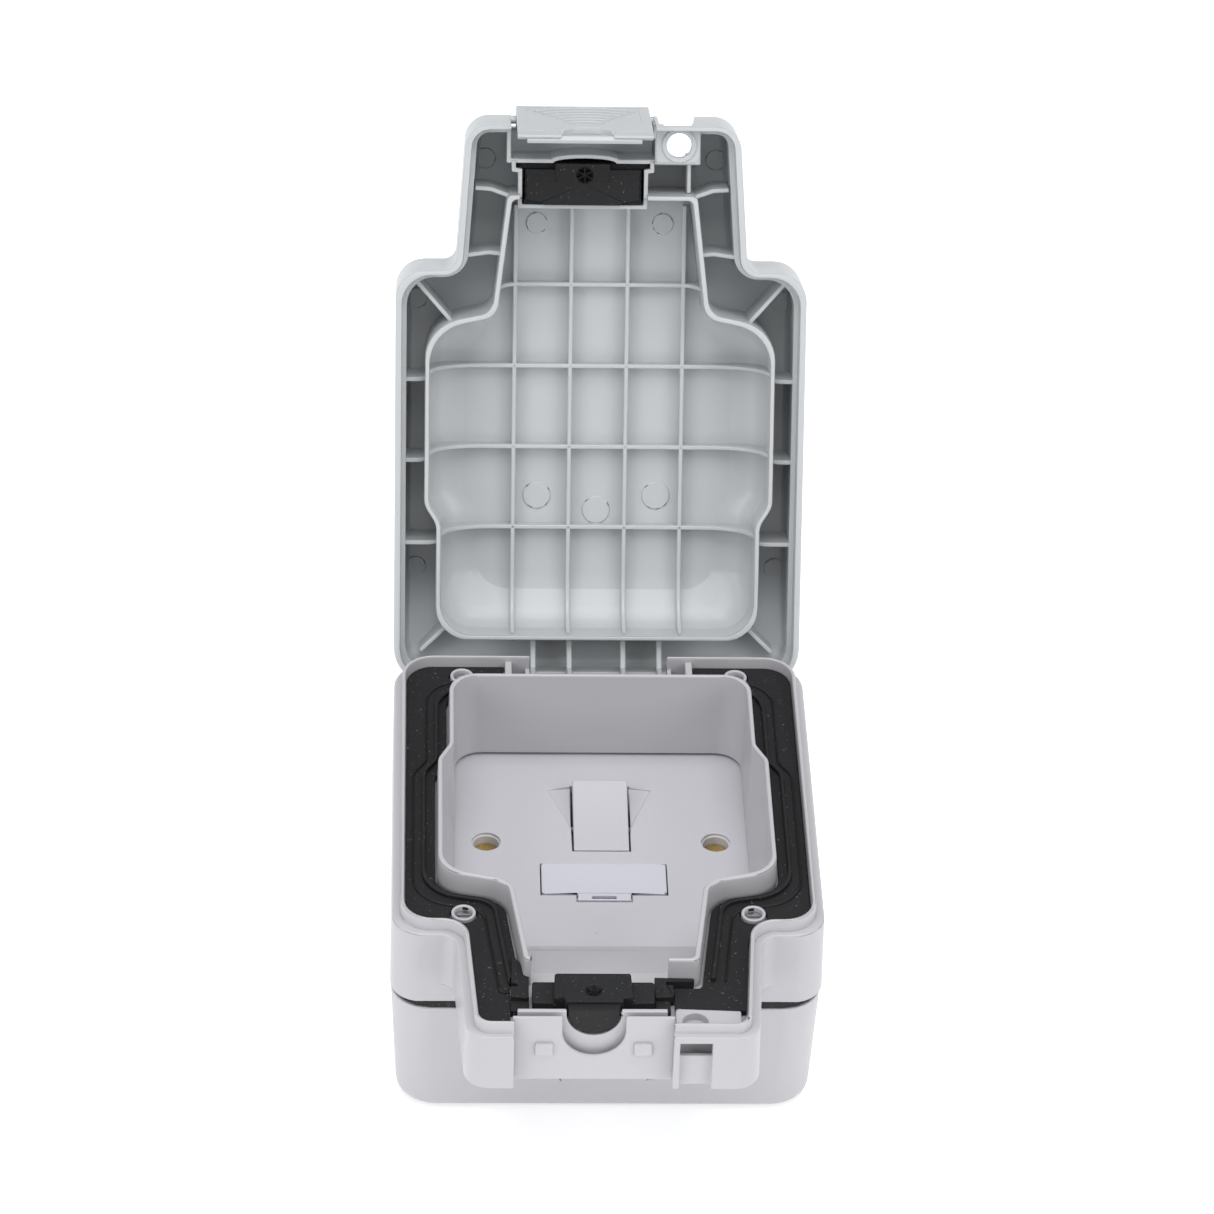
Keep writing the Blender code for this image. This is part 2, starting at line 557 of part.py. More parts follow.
def fuse_carrier():
    (x0, x1), (y0, y1) = FUSE_X, FUSE_Y
    x, y = FUSE_MID
    top = 41.3
    carrier = place("fuse_carrier", slab(rectangle((x1 - x0) / 2, (y1 - y0) / 2, 1.0, (x, y), 3), 38.9, top),
                    BASE, "carrier_plastic")
    join(carrier, place("carrier_tab", block((-6.5, y0 - 2.6, 40.4), (7.2, y0 + 1, top)), BASE))
    cut(carrier, place("carrier_slot", block((-2.9, y0 - 2.1, 40.0), (3.4, y0 - 0.9, top + 1)), BASE))
    join(carrier, place("carrier_tray", block((x0 + 0.6, y - 4.6, 22.5), (x1 - 0.6, y + 4.6, 39.2)), BASE))
    cut(carrier, place("carrier_hollow", block((x0 + 1.6, y - 3.7, 20), (x1 - 1.6, y + 3.7, 36.8)), BASE))
    for side in (-1, 1):
        lug = x + side * 9.6
        join(carrier, place("carrier_grip", block((lug - 0.9, y - 4.2, 33.6), (lug + 0.9, y + 4.2, 37)), BASE))


def cartridge_fuse():
    x, y = FUSE_MID
    z = 29.6
    place("fuse_body", rod((x - 6.4, y, z), (x + 6.4, y, z), 2.9, sides=16), BASE, "ceramic")
    for side in (-1, 1):
        name = side_name(side)
        place("fuse_cap_" + name, rod((x + side * 6.6, y, z), (x + side * 12.7, y, z), 3.15, sides=16), BASE, "brass")
        clip_x = sorted((x + side * 8.0, x + side * 11.4))
        clip = place("fuse_clip_" + name, block((clip_x[0], y - 3.9 + 0.5, 19.4), (clip_x[1], y + 3.9 - 0.5, 25.9)),
                     BASE, "brass")
        cut(clip, place("clip_mouth", block((clip_x[0] - 1, y - 2.7, 20.2), (clip_x[1] + 1, y + 2.7, 28)), BASE))


# ---------------------------------------------------------------- lid

def lid_shell(space):
    lid = place("lid", loft([
        (plan_outline(-0.4, -0.1), LID_RIM_Z), (plan_outline(-0.4, -0.8), 79.4), (plan_outline(0.4, 0.2), 82.4),
        (plan_outline(2.6, 2.6), LID_TOP_Z)]), space, "lid_plastic")
    room = place("lid_room", loft([
        (plan_outline(1.4, 1.15), LID_RIM_Z - 1), (plan_outline(1.4, 1.15), 66.0), (plan_outline(2.6, 2.6), 66.4),
        (plan_outline(2.6, 2.4), 79.4), (plan_outline(3.6, 3.6), LID_TOP_Z - LID_SKIN)]), space)
    cut(lid, room)
    join(lid, place("slope_skin", prism([(26.0, 83.6), (30.0, 82.0), (53.4, 72.4), (54.8, 72.4), (54.8, 83.6)],
                                        -51.5, 51.5), space))
    floor = LID_TOP_Z - LID_SKIN
    outer, inner = seal_wall_outline(0.65), seal_wall_outline(-0.65)
    join(lid, place("seal_wall", loft([(outer, SEAL_EDGE_Z), (outer, floor + 1), (inner, floor + 1),
                                       (inner, SEAL_EDGE_Z)], ring=True), space))
    lid_ribs(lid, space, floor)
    latch_housing(lid, space, floor)
    padlock_tab(lid, space)
    x0, x1 = CLIP_ROOM_X
    y, z = CLIP_PIVOT
    cut(lid, place("clip_pin_bore", rod((x0 - 2, y, z), (x1 + 1.4, y, z), 1.4, sides=12), space))
    hinge_lugs(lid, space)
    cut(lid, place("slope", prism([(29.0, 86.0), (29.0, 84.9), (60.0, 72.1), (60.0, 86.0)], -60, 60), space))


def lid_ribs(lid, space, floor):
    low = floor - 3.6
    half = RIB_T / 2
    for x in RIB_X:
        for side in (-1, 1):
            join(lid, place("rib_long", block((side * x - half, -72, low), (side * x + half, 42.8, floor + 1)), space))
    for y in RIB_Y:
        reach = 26.8 if y < -45 else 45.6 if y < 8 else 42.4
        join(lid, place("rib_cross", block((-reach, y - half, low), (reach, y + half, floor + 1)), space))
    for y in SIDE_RIB_Y:
        start = 45.8 if y < 8 else 42.6
        for side in (-1, 1):
            x0, x1 = sorted((side * start, side * 52.2))
            join(lid, place("rib_side", block((x0, y - half, 66.8), (x1, y + half, 78.5)), space))
    for y, inner, outer in ((-75.4, 23.8, 34.4), (-60.4, 26.4, 35.8)):
        for side in (-1, 1):
            x0, x1 = sorted((side * inner, side * outer))
            join(lid, place("rib_neck", block((x0, y - half, 66.8), (x1, y + half, 78)), space))


def latch_housing(lid, space, floor):
    """Pocket for the clip at the lid's end, and the holder of the seal block."""
    x0, x1 = CLIP_ROOM_X
    t = 1.1
    walls = place("latch_walls", block((x0 - t, -96.0, COLLAR_Z[1] - 1.2), (x1 + t, -85.4, floor + 1)), space)
    cut(walls, place("latch_room", block((x0, -99, 60), (x1, -86.5, floor)), space))
    join(lid, walls)
    cut(lid, place("latch_gap", block((x0, -99, 59), (x1, -92.4, 90)), space))
    holder = place("seal_holder", block((-22.6, -83.0, COLLAR_Z[1] + 0.5), (12.6, -71.6, floor + 1)), space)
    cut(holder, place("seal_holder_room", block((-21.4, -81.9, 60), (11.4, -72.8, 76)), space))
    cut(lid, place("seal_wall_gap", block((-22.0, -80, 60), (12.0, -72.5, 76)), space))
    join(lid, holder)


def padlock_tab(lid, space):
    """Tab over the pad of the frame, in a notch that is open to the outside."""
    low, high = TAB_X
    t = 1.1
    top = LID_TOP_Z - 1.4
    join(lid, place("tab_block", block((low - t, -95.0, TAB_Z[0]), (high + t, TAB_Y + t, top)), space))
    cut(lid, place("tab_notch", block((low, -99, TAB_Z[1]), (high, TAB_Y, 90)), space))
    cut(lid, place("tab_hole", rod((*PADLOCK, 58), (*PADLOCK, 90), 3.3), space))


def hinge_lugs(lid, space):
    """Lugs that reach down to the hinge axis, rounded about it."""
    radius = 2.9
    low = [(HINGE_Y + radius * math.cos(a), HINGE_Z + radius * math.sin(a))
           for a in (math.pi * (1 + i / 8) for i in range(9))]
    profile = low + [(HINGE_Y + 0.2, 62.0), (HINGE_Y + 0.2, 68.0), (53.6, 78), (44.5, 78), (44.5, 67.5), (52.2, 64.0)]
    for x in LUG_X:
        for side in (-1, 1):
            cx = side * x
            join(lid, place("lug", prism(profile, cx - 0.7, cx + 0.7), space))
            bore = rod((cx - 2, HINGE_Y, HINGE_Z), (cx + 2, HINGE_Y, HINGE_Z), PIN_R + GAP, sides=12)
            cut(lid, place("lug_bore", bore, space))


def lid_seal_block(space):
    """Rubber block that closes on the cable seal."""
    place("lid_seal_block", block((-21.1, -81.6, 66.0), (11.1, -73.9, 75.6)), space, "rubber")


def latch_clip(space):
    """Clip over the neck's recess, leaning in towards its hook, with a finger notch and grip ribs."""
    x0, x1 = CLIP_ROOM_X[0] + 1.4, CLIP_ROOM_X[1] - 1.2
    y, z = CLIP_PIVOT
    top, low = (-98.9, 80.6), (-95.0, 47.0)
    profile = [top, low, (-94.0, 46.6), (-93.2, 48.6), (-93.2, 50.6), (-94.2, 51.2), (-94.5, 57.0),
               (-96.2, 74.0), (y + 1.4, z - 2.6), (y + 2.4, z), (y + 1.0, z + 2.2)]
    clip = place("latch_clip", prism(profile, x0, x1), space, "lid_plastic")
    cut(clip, place("clip_finger", rod((LATCH_MID, -99, 45.0), (LATCH_MID, -92, 45.0), 7.2, sides=24), space))
    cut(clip, place("clip_bore", rod((x0 - 1, y, z), (x1 + 1, y, z), 1.4, sides=12), space))


def latch_pin(space):
    y, z = CLIP_PIVOT
    place("latch_pin", rod((CLIP_ROOM_X[0] - 0.9, y, z), (CLIP_ROOM_X[1] + 0.8, y, z), 1.1, sides=12), space, "steel")


# ---------------------------------------------------------------- build

clear_scene()
parts = new_collection(PART_NAME)
cutters = new_collection("cutters")
materials = make_materials()

back_box()
box_gasket()
front_frame()
face_gasket()
cable_seal()
mirror_pair(seal_corner)
accessory_plate()
module_body()
for terminal_name, (tx, ty) in TERMINALS.items():
    terminal(terminal_name, tx, ty)
for sx in (-1, 1):
    for sy in (-1, 1):
        corner_name = ("far" if sy > 0 else "near") + "_" + side_name(sx)
        px, py = sx * FRAME_SCREW[0], sy * FRAME_SCREW[1]
        brass_insert("frame_insert_" + corner_name, px, py, BOX_TOP_Z)
        screw("frame_screw_" + corner_name, px, py, 60.2, 30, 2.0, 1.5, "steel")
    brass_insert("plate_insert_" + side_name(sx), sx * PLATE_SCREW[0], PLATE_SCREW[1], 30)
    screw("plate_screw_" + side_name(sx), sx * PLATE_SCREW[0], PLATE_SCREW[1], 37.6, 24, 3.1, 1.5, "brass")
mirror_pair(hinge_pin)

rocker_axis = (0, *ROCKER_PIVOT)
rocker(Space(empty_at("rocker_axis", rocker_axis, ROCKER_REST), rocker_axis))
contact_axis = (0, ROCKER_PIVOT[0], 28.8)
switch_parts(Space(empty_at("contact_axis", contact_axis, -ROCKER_REST), contact_axis))
fuse_carrier()
cartridge_fuse()

lid_axis = (0, HINGE_Y, HINGE_Z)
lid_empty = empty_at("lid_axis", lid_axis, LID_OPEN)
lid_space = Space(lid_empty, lid_axis)
lid_shell(lid_space)
lid_seal_block(lid_space)
latch_pin(lid_space)
clip_axis = (0, *CLIP_PIVOT)
latch_clip(Space(empty_at("clip_axis", clip_axis, 0, lid_empty, lid_axis), clip_axis))
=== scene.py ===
"""Looks of the weatherproof fused switch box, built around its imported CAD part.

Shapes are made in millimetres in the part's closed position (X across, +Y to the hinge, +Z out
from the wall) and are then turned to where the part rests.
"""
import json
import math

import bmesh
import bpy
from mathutils import Matrix, Vector

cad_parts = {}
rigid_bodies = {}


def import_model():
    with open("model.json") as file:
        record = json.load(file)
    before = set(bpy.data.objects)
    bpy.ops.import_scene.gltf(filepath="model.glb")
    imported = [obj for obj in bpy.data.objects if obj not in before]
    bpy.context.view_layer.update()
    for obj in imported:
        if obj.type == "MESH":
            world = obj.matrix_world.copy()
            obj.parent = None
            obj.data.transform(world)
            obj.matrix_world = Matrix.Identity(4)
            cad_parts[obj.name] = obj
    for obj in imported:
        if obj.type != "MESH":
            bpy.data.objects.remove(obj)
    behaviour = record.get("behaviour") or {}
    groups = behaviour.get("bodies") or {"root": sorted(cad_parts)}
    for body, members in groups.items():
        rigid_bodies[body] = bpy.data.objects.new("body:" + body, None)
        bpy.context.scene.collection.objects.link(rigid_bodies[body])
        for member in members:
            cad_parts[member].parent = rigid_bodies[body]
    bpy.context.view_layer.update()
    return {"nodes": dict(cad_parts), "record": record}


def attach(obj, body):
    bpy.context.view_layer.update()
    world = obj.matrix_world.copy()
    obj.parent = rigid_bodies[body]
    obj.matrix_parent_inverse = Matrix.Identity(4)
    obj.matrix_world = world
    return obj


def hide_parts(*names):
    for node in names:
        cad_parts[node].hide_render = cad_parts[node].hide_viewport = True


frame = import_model()

MM = 0.001
SIDES = (-1, 1)
GAP = 0.3
ARC = 8                        # steps of a rounded corner
ROUND = 32                     # sides of a small round piece
EDGE, EDGE_ANGLE = 0.25, 35    # radius worked on a moulding's edges, and how sharp they have to be
SMOOTH_ANGLE = 50

# limits for cutters, past everything there is
OUTER, OUTSIDE_Y, ABOVE_Z = 60.0, -99.0, 90.0

WIDE_X, WIDE_Y = 54.4, 56.3            # half width and half length of the wide part
NECK_ROOT_X, NECK_END_X = 38.5, 35.8   # half width of the neck at its root and end
NECK_Y = 95.2
CORNER_R, ROOT_R, NECK_R = 10.0, 4.0, 6.0

FRAME_Z, LEDGE_Z, RIM_Z = 38.6, 60.4, 64.0
BACK_Z, FLOOR_Z, BOX_TOP_Z = 0.9, 3.4, 36.1
DECK_Z, COLLAR_Z, PLATE_Z = (56.6, 59.1), (41.8, 67.5), (38.4, 41.0)
COLLAR_R = 0.35                # rounding of the collar's rim
NECK_FLOOR_Z, HINGE_FLOOR_Z = (44.1, 46.0), (45.0, 47.0)
GASKET_Z = (DECK_Z[1] + 0.25, 60.9)
LID_FLOOR_Z, LID_TOP_Z = 82.0, 84.4
RIB_TOP_Z, ROOM_TOP_Z = 83.0, 82.6     # tops of the lid's ribs and room walls, inside its top
RIB_LOW_Z, HOLDER_Z = 66.8, 66.0
SLOPE_Y, SLOPE_Z, SLOPE_FALL = 29.0, 66.0, 0.413    # where the lid's top falls away to the hinge

HINGE_Y, HINGE_Z, LID_OPEN = 55.1, 53.0, -114.4
PIN_R, LUG_R, LUG_T = 1.3, 2.9, 1.4
LATCH_X = (-24.3, 14.9)
LATCH_MID = sum(LATCH_X) / 2
LATCH_FACE_Y, CATCH_Y = 92.0, 92.8
CATCH_X, CATCH_T = 12.2, 2.2           # the catches' distance from the latch's middle, and half width
CLIP_PIVOT = (-94.8, 78.4)
CLIP_ROOM_X, CLIP_ROOM_T = (-24.4, 13.8), 1.1
CLIP_FACE_TOP, CLIP_FACE_LOW = Vector((-98.6, 80.6)), Vector((-94.9, 47.0))
CLIP_TOP_Z, CLIP_R = 80.9, 2.4
TAB_X, TAB_Z = (14.9, 24.8), (64.4, 66.6)
PADLOCK, PADLOCK_R = (20.2, -90.0), 3.3
NOTCH, TONGUE = (59.5, 7.8), (63.4, 6.7)
FRAME_SCREW, PLATE_SCREW = (36.5, 49.0), (30.15, 4.3)
WALL_PAD, WALL_PAD_SIZE, WALL_PAD_Z, WALL_HOLE = (41, 45), (6, 5), 2, (30, 38)
ROCKER_X, ROCKER_Y, ROCKER_PIVOT, ROCKER_REST = (-7.3, 7.5), (0.7, 27.5), (14.1, 36.8), 9.5
FUSE_X, FUSE_Y = (-15.9, 16.6), (-17.2, -5.0)
RIB_X, RIB_T = (7.6, 22.7), 1.1
KNOCKOUT_Z, KNOCKOUT_R, KNOCKOUT_T = 18.4, 14.4, 1.1
SEAL_DENT = (LATCH_MID, -83.1)
BLOCK_DENT = (LATCH_MID, -81.6)

WORLD_COLOUR, WORLD_STRENGTH = (0.96, 0.98, 1.0, 1), 0.57
FLOOR_COLOUR, FLOOR_GLOW = (0.95, 0.95, 0.95, 1), 0.33
CAMERA_LENS = 150.52
CAMERA_AT = Vector((-49.87, -1027.38, 884.04))      # millimetres
CAMERA_AHEAD, CAMERA_UP = Vector((0.03835, 0.80218, -0.59584)), Vector((-0.00613, 0.59645, 0.80262))

work = bpy.data.collections.new("work")
bpy.context.scene.collection.children.link(work)


# ---------------------------------------------------------------- shape helpers

def rounded(corners, steps=ARC):
    """Closed outline from (x, y, radius) corners, each one an arc of equal steps."""
    outline = []
    for i, (x, y, radius) in enumerate(corners):
        corner = Vector((x, y))
        back = Vector(corners[i - 1][:2]) - corner
        ahead = Vector(corners[(i + 1) % len(corners)][:2]) - corner
        half = back.angle(ahead) / 2
        reach = min(radius / math.tan(half), 0.49 * back.length, 0.49 * ahead.length)
        radius = reach * math.tan(half)
        centre = corner + (back.normalized() + ahead.normalized()).normalized() * radius / math.sin(half)
        spoke = corner + back.normalized() * reach - centre
        turn = math.pi - 2 * half
        if (-back).cross(ahead) < 0:
            turn = -turn
        for step in range(steps + 1):
            angle = turn * step / steps
            outline.append((centre.x + spoke.x * math.cos(angle) - spoke.y * math.sin(angle),
                            centre.y + spoke.x * math.sin(angle) + spoke.y * math.cos(angle)))
    return outline


def loft(sections, ring=False):
    """Skin over (outline, z) sections: capped at both ends, or closed on itself as a ring."""
    bm = bmesh.new()
    rows = [[bm.verts.new((x, y, z)) for x, y in outline] for outline, z in sections]
    pairs = list(zip(rows, rows[1:]))
    if ring:
        pairs.append((rows[-1], rows[0]))
    else:
        bm.faces.new(rows[0])
        bm.faces.new(rows[-1])
    count = len(rows[0])
    for low, high in pairs:
        for i in range(count):
            j = (i + 1) % count
            bm.faces.new((low[i], low[j], high[j], high[i]))
    return bm


def slab(outline, low, high):
    """Outline in (x, y) drawn out from one height to another."""
    return loft([(outline, low), (outline, high)])


def rectangle(x, y, radius, centre=(0, 0), steps=ARC):
    """Rounded rectangle of half sizes x and y."""
    cx, cy = centre
    return rounded([(cx + x, cy + y, radius), (cx - x, cy + y, radius),
                    (cx - x, cy - y, radius), (cx + x, cy - y, radius)], steps)


def block(low, high):
    """Box between two opposite corners."""
    bm = bmesh.new()
    bmesh.ops.create_cube(bm, size=1)
    bmesh.ops.scale(bm, vec=Vector(high) - Vector(low), verts=bm.verts)
    bmesh.ops.translate(bm, vec=(Vector(low) + Vector(high)) / 2, verts=bm.verts)
    return bm


def soft_block(low, high, near, far=None):
    """Box whose upright edges are rounded, with its own radius for the far pair if one is given."""
    far = near if far is None else far
    outline = rounded([(low[0], low[1], near), (high[0], low[1], near), (high[0], high[1], far),
                       (low[0], high[1], far)])
    return slab(outline, low[2], high[2])


def rod(start, end, radius, end_radius=None, sides=ROUND):
    """Cylinder or cone between two points."""
    start, end = Vector(start), Vector(end)
    bm = bmesh.new()
    bmesh.ops.create_cone(bm, cap_ends=True, segments=sides, radius1=radius,
                          radius2=radius if end_radius is None else end_radius,
                          depth=(end - start).length)
    turn = Vector((0, 0, 1)).rotation_difference(end - start)
    bmesh.ops.rotate(bm, verts=bm.verts, matrix=turn.to_matrix())
    bmesh.ops.translate(bm, vec=(start + end) / 2, verts=bm.verts)
    return bm


def prism(profile, low, high):
    """Outline in (y, z) drawn out along X."""
    bm = bmesh.new()
    rows = [[bm.verts.new((x, y, z)) for y, z in profile] for x in (low, high)]
    for row in rows:
        bm.faces.new(row)
    for i in range(len(profile)):
        j = (i + 1) % len(profile)
        bm.faces.new((rows[0][i], rows[0][j], rows[1][j], rows[1][i]))
    return bm


def run_of(points, thickness, low, high):
    """Upright wall of one thickness along an open line of (x, y) points."""
    line = [Vector(p) for p in points]
    left, right = [], []
    for i, point in enumerate(line):
        ahead = (line[min(i + 1, len(line) - 1)] - line[min(i, len(line) - 2)]).normalized()
        back = (line[max(i, 1)] - line[max(i, 1) - 1]).normalized()
        mean = (ahead + back).normalized()
        side = Vector((-mean.y, mean.x)) * thickness / 2 / max(mean.dot(ahead), 0.5)
        left.append(tuple(point + side))
        right.append(tuple(point - side))
    return slab(left + right[::-1], low, high)


def across(profile, low, high):
    """Outline in (x, z) drawn out along Y."""
    bm = prism(profile, low, high)
    for vert in bm.verts:
        vert.co = Vector((vert.co.y, vert.co.x, vert.co.z))
    return bm


def angles(start, end, steps):
    """Angles from start to end in equal steps."""
    return [start + (end - start) * i / steps for i in range(steps + 1)]


def fall_away(bm):
    """Lower what is near the lid's top so that it follows the slope towards the hinge."""
    for y in (SLOPE_Y, SLOPE_Y + 9, SLOPE_Y + 18):
        bmesh.ops.bisect_plane(bm, geom=bm.verts[:] + bm.edges[:] + bm.faces[:], plane_co=(0, y, 0),
                               plane_no=(0, 1, 0), dist=1e-4)
    for vert in bm.verts:
        drop = (vert.co.y - SLOPE_Y) * SLOPE_FALL
        if drop > 0 and vert.co.z > SLOPE_Z:
            vert.co.z -= drop * (vert.co.z - SLOPE_Z) / (LID_TOP_Z - SLOPE_Z)
    return bm


def shape(bm):
    """Working object of a bmesh in millimetres."""
    bmesh.ops.recalc_face_normals(bm, faces=bm.faces)
    mesh = bpy.data.meshes.new("shape")
    bm.to_mesh(mesh)
    bm.free()
    obj = bpy.data.objects.new("shape", mesh)
    work.objects.link(obj)
    return obj


def combine(target, operation, tools):
    """Boolean of a working object with bmeshes or other working objects."""
    for tool in tools:
        step = target.modifiers.new("combine", "BOOLEAN")
        step.operation = operation
        step.solver = "EXACT"
        step.object = tool if isinstance(tool, bpy.types.Object) else shape(tool)


def cut(target, *tools):
    """Take the tools away from the target."""
    combine(target, "DIFFERENCE", tools)


def join(target, *tools):
    """Add the tools to the target."""
    combine(target, "UNION", tools)


def opened():
    """From the lid's closed position to its open one."""
    pivot = Matrix.Translation((0, HINGE_Y, HINGE_Z))
    return pivot @ Matrix.Rotation(math.radians(LID_OPEN), 4, "X") @ pivot.inverted()


def tipped():
    """From the rocker's level position to the one it rests in."""
    pivot = Matrix.Translation((0, *ROCKER_PIVOT))
    return pivot @ Matrix.Rotation(math.radians(ROCKER_REST), 4, "X") @ pivot.inverted()


def piece(name, shapes, finish, body, replaced=(), turn=None, edge=EDGE):
    """One named piece from working objects and bmeshes, with its edges rounded."""
    whole = bmesh.new()
    objects = [item if isinstance(item, bpy.types.Object) else shape(item) for item in shapes]
    bpy.context.view_layer.update()
    graph = bpy.context.evaluated_depsgraph_get()
    for obj in objects:
        mesh = bpy.data.meshes.new_from_object(obj.evaluated_get(graph))
        whole.from_mesh(mesh)
        bpy.data.meshes.remove(mesh)
    bmesh.ops.transform(whole, matrix=Matrix.Scale(MM, 4) @ (turn or Matrix()), verts=whole.verts)
    bmesh.ops.triangulate(whole, faces=[face for face in whole.faces if len(face.verts) > 4])
    mesh = bpy.data.meshes.new(name)
    whole.to_mesh(mesh)
    whole.free()
    mesh.shade_smooth()
    mesh.set_sharp_from_angle(angle=math.radians(SMOOTH_ANGLE))
    made = bpy.data.objects.new(name, mesh)
    bpy.context.scene.collection.objects.link(made)
    mesh.materials.append(finishes[finish])
    if edge:
        round_edges(made, edge)
    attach(made, body)
    if replaced:
        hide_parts(*replaced)
    for obj in list(work.objects):
        bpy.data.objects.remove(obj)


def round_edges(obj, radius):
    """Small rounding on every sharp edge, with flat faces kept flat in the shading."""
    step = obj.modifiers.new("edges", "BEVEL")
    step.width = radius * MM
    step.segments = 2
    step.limit_method = "ANGLE"
    step.angle_limit = math.radians(EDGE_ANGLE)
    step.use_clamp_overlap = False
    weighted = obj.modifiers.new("flats", "WEIGHTED_NORMAL")
    weighted.keep_sharp = True

# ---------------------------------------------------------------- outlines

def mirrored(right):
    """Outline from the corners of its right half."""
    return rounded(right + [(-x, y, r) for x, y, r in reversed(right)])


def plan_outline(inset_x=0.0, inset_y=0.0):
    """The wide part with its neck, inset by the given amounts."""
    grow = (inset_x + inset_y) / 2
    return mirrored([
        (NECK_END_X - inset_x, -NECK_Y + inset_y, max(NECK_R - grow, 1)),
        (NECK_ROOT_X - inset_x, -WIDE_Y + inset_y, ROOT_R + grow),
        (WIDE_X - inset_x, -WIDE_Y + inset_y, max(CORNER_R - grow, 1)),
        (WIDE_X - inset_x, WIDE_Y - inset_y, max(CORNER_R - grow, 1))])


def collar_outline(grow=0.0, far_y=42.4, end_y=74.2):
    """Waisted outline around the switch plate, narrowing into the neck."""
    return mirrored([
        (21.6 + grow, -end_y - grow, 1.5), (25.4 + grow, -44.0 - grow, 6), (42.9 + grow, -39.6 - grow, 8),
        (42.9 + grow, 6.0, 5), (39.9 + grow, 12.4, 5), (39.9 + grow, far_y + grow, 7)])


def collar_foot(grow=0.0):
    """Foot of the collar: narrower, with a straight side, so its walls lean inwards."""
    return mirrored([
        (20.6 + grow, -74.2 - grow, 1.5), (22.6 + grow, -39.0 - grow, 6), (38.4 + grow, -34.4 - grow, 8),
        (38.3 + grow, 6.0, 5), (38.2 + grow, 12.4, 5), (38.2 + grow, 40.8 + grow, 7)])


def seal_outline(grow=0.0, inner=0.0):
    """The lid's sealing wall; inner moves only the wide part of the line inwards."""
    neck, wide = grow - 0.03 * inner, grow - inner
    return mirrored([
        (24.6 + neck, -76.0 - grow, 1.5), (28.4 + neck, -44.4 - grow + 0.2 * inner, 5),
        (46.2 + wide, -40.6 - wide, 11), (46.2 + wide, 7.4, 6),
        (42.9 + wide, 12.6, 6), (42.9 + wide, 43.7 + wide, 9)])


# ---------------------------------------------------------------- base

def front_frame():
    """Front frame with its deck, collar, cable ramp, latch recess and hinge pocket."""
    neck_floor = [(34.6, -50, 0.5), (-34.6, -50, 0.5), (-32.8, -91.5, 3), (32.8, -91.5, 3)]
    shapes = [frame_wall(), frame_deck(), frame_collar(), cable_ramp()]
    shapes += [slab(rounded(neck_floor), *NECK_FLOOR_Z)] + latch_recess() + hinge_pocket() + bosses()
    piece("frame_shell", shapes, "base_plastic", "base", ["front_frame"])


def frame_wall():
    """Outer wall: up its outer face, over the ledge and the rim, and down inside."""
    steps = [((-0.5, -0.5), FRAME_Z), ((-0.1, -0.1), LEDGE_Z - 0.45), ((0.1, 0.1), LEDGE_Z - 0.12),
             ((0.45, 0.4), LEDGE_Z), ((1.75, 1.3), LEDGE_Z), ((2.0, 1.5), LEDGE_Z + 0.25),
             ((2.05, 1.55), RIM_Z - 0.3), ((2.25, 1.75), RIM_Z), ((2.75, 2.15), RIM_Z),
             ((3.0, 2.4), RIM_Z - 0.3), ((3.2, 2.6), DECK_Z[0]), ((3.4, 3.0), FRAME_Z)]
    wall = shape(loft([(plan_outline(*inset), z) for inset, z in steps], ring=True))
    under_neck = block((-OUTER, -NECK_Y - 5, FRAME_Z - 1), (OUTER, -WIDE_Y - 0.4, NECK_FLOOR_Z[0]))
    cut(wall, under_neck, block((-22.0, 49.8, HINGE_FLOOR_Z[1]), (22.0, 53.4, ABOVE_Z)),
        block((-18.4, 52, HINGE_FLOOR_Z[1]), (18.4, OUTER, ABOVE_Z)))
    cut_latch(wall)
    return wall


def cut_latch(wall):
    """Take the latch recess and the padlock slot out of the neck's end wall."""
    low, high = LATCH_X
    outside = -NECK_Y - 2
    slot = (16.4, 24.4)
    cut(wall, block((low, outside, 41), (high, -91.4, ABOVE_Z)),
        block((low + 0.6, -93.0, 41), (high - 1.4, -87.6, ABOVE_Z)),
        block((slot[0], outside, 40), (slot[1], -NECK_Y + 1.5, 58.6)),
        block((slot[0], outside, 53.4), (slot[1], -91.0, 58.6)),
        block((15.0, OUTSIDE_Y, 63.4), (33.0, -90.0, ABOVE_Z)))


def frame_deck():
    """Flat ring that the gasket lies on, cut back at the hinge, the latch recess and the tongue."""
    low, high = LATCH_X
    under = DECK_Z[0] - 1
    deck = shape(slab(plan_outline(2.9, 2.3), *DECK_Z))
    cut(deck, slab(collar_outline(-0.4), under, DECK_Z[1] + 1),
        block((-24.0, 49.0, 50), (24.0, OUTER, ABOVE_Z)),
        block((low - 0.2, OUTSIDE_Y, under), (high + 0.2, -91.2, ABOVE_Z)),
        block((low + 0.6, -92.0, under), (high - 1.4, -88.9, ABOVE_Z)),
        *u_notch(TONGUE[0], TONGUE[1] + GAP, -85.7, -92.0))
    return deck


def frame_collar():
    """Collar around the switch plate, open at the neck above the ramp."""
    foot, top = COLLAR_Z
    collar = shape(loft([(collar_foot(1.2), foot), (collar_outline(0.4), DECK_Z[0]),
                         (collar_outline(0.02), top - COLLAR_R), (collar_outline(-0.25), top),
                         (collar_outline(-0.95), top), (collar_outline(-1.2), top - COLLAR_R),
                         (collar_outline(-0.9), DECK_Z[0]), (collar_foot(), foot)], ring=True))
    seat_z = DECK_Z[1] - 0.2
    cut(collar, block((-20.0, -86.7, seat_z), (14.0, -72.9, ABOVE_Z)),
        block((-19.8, -80.0, 50), (19.8, -73.4, seat_z)))
    return collar


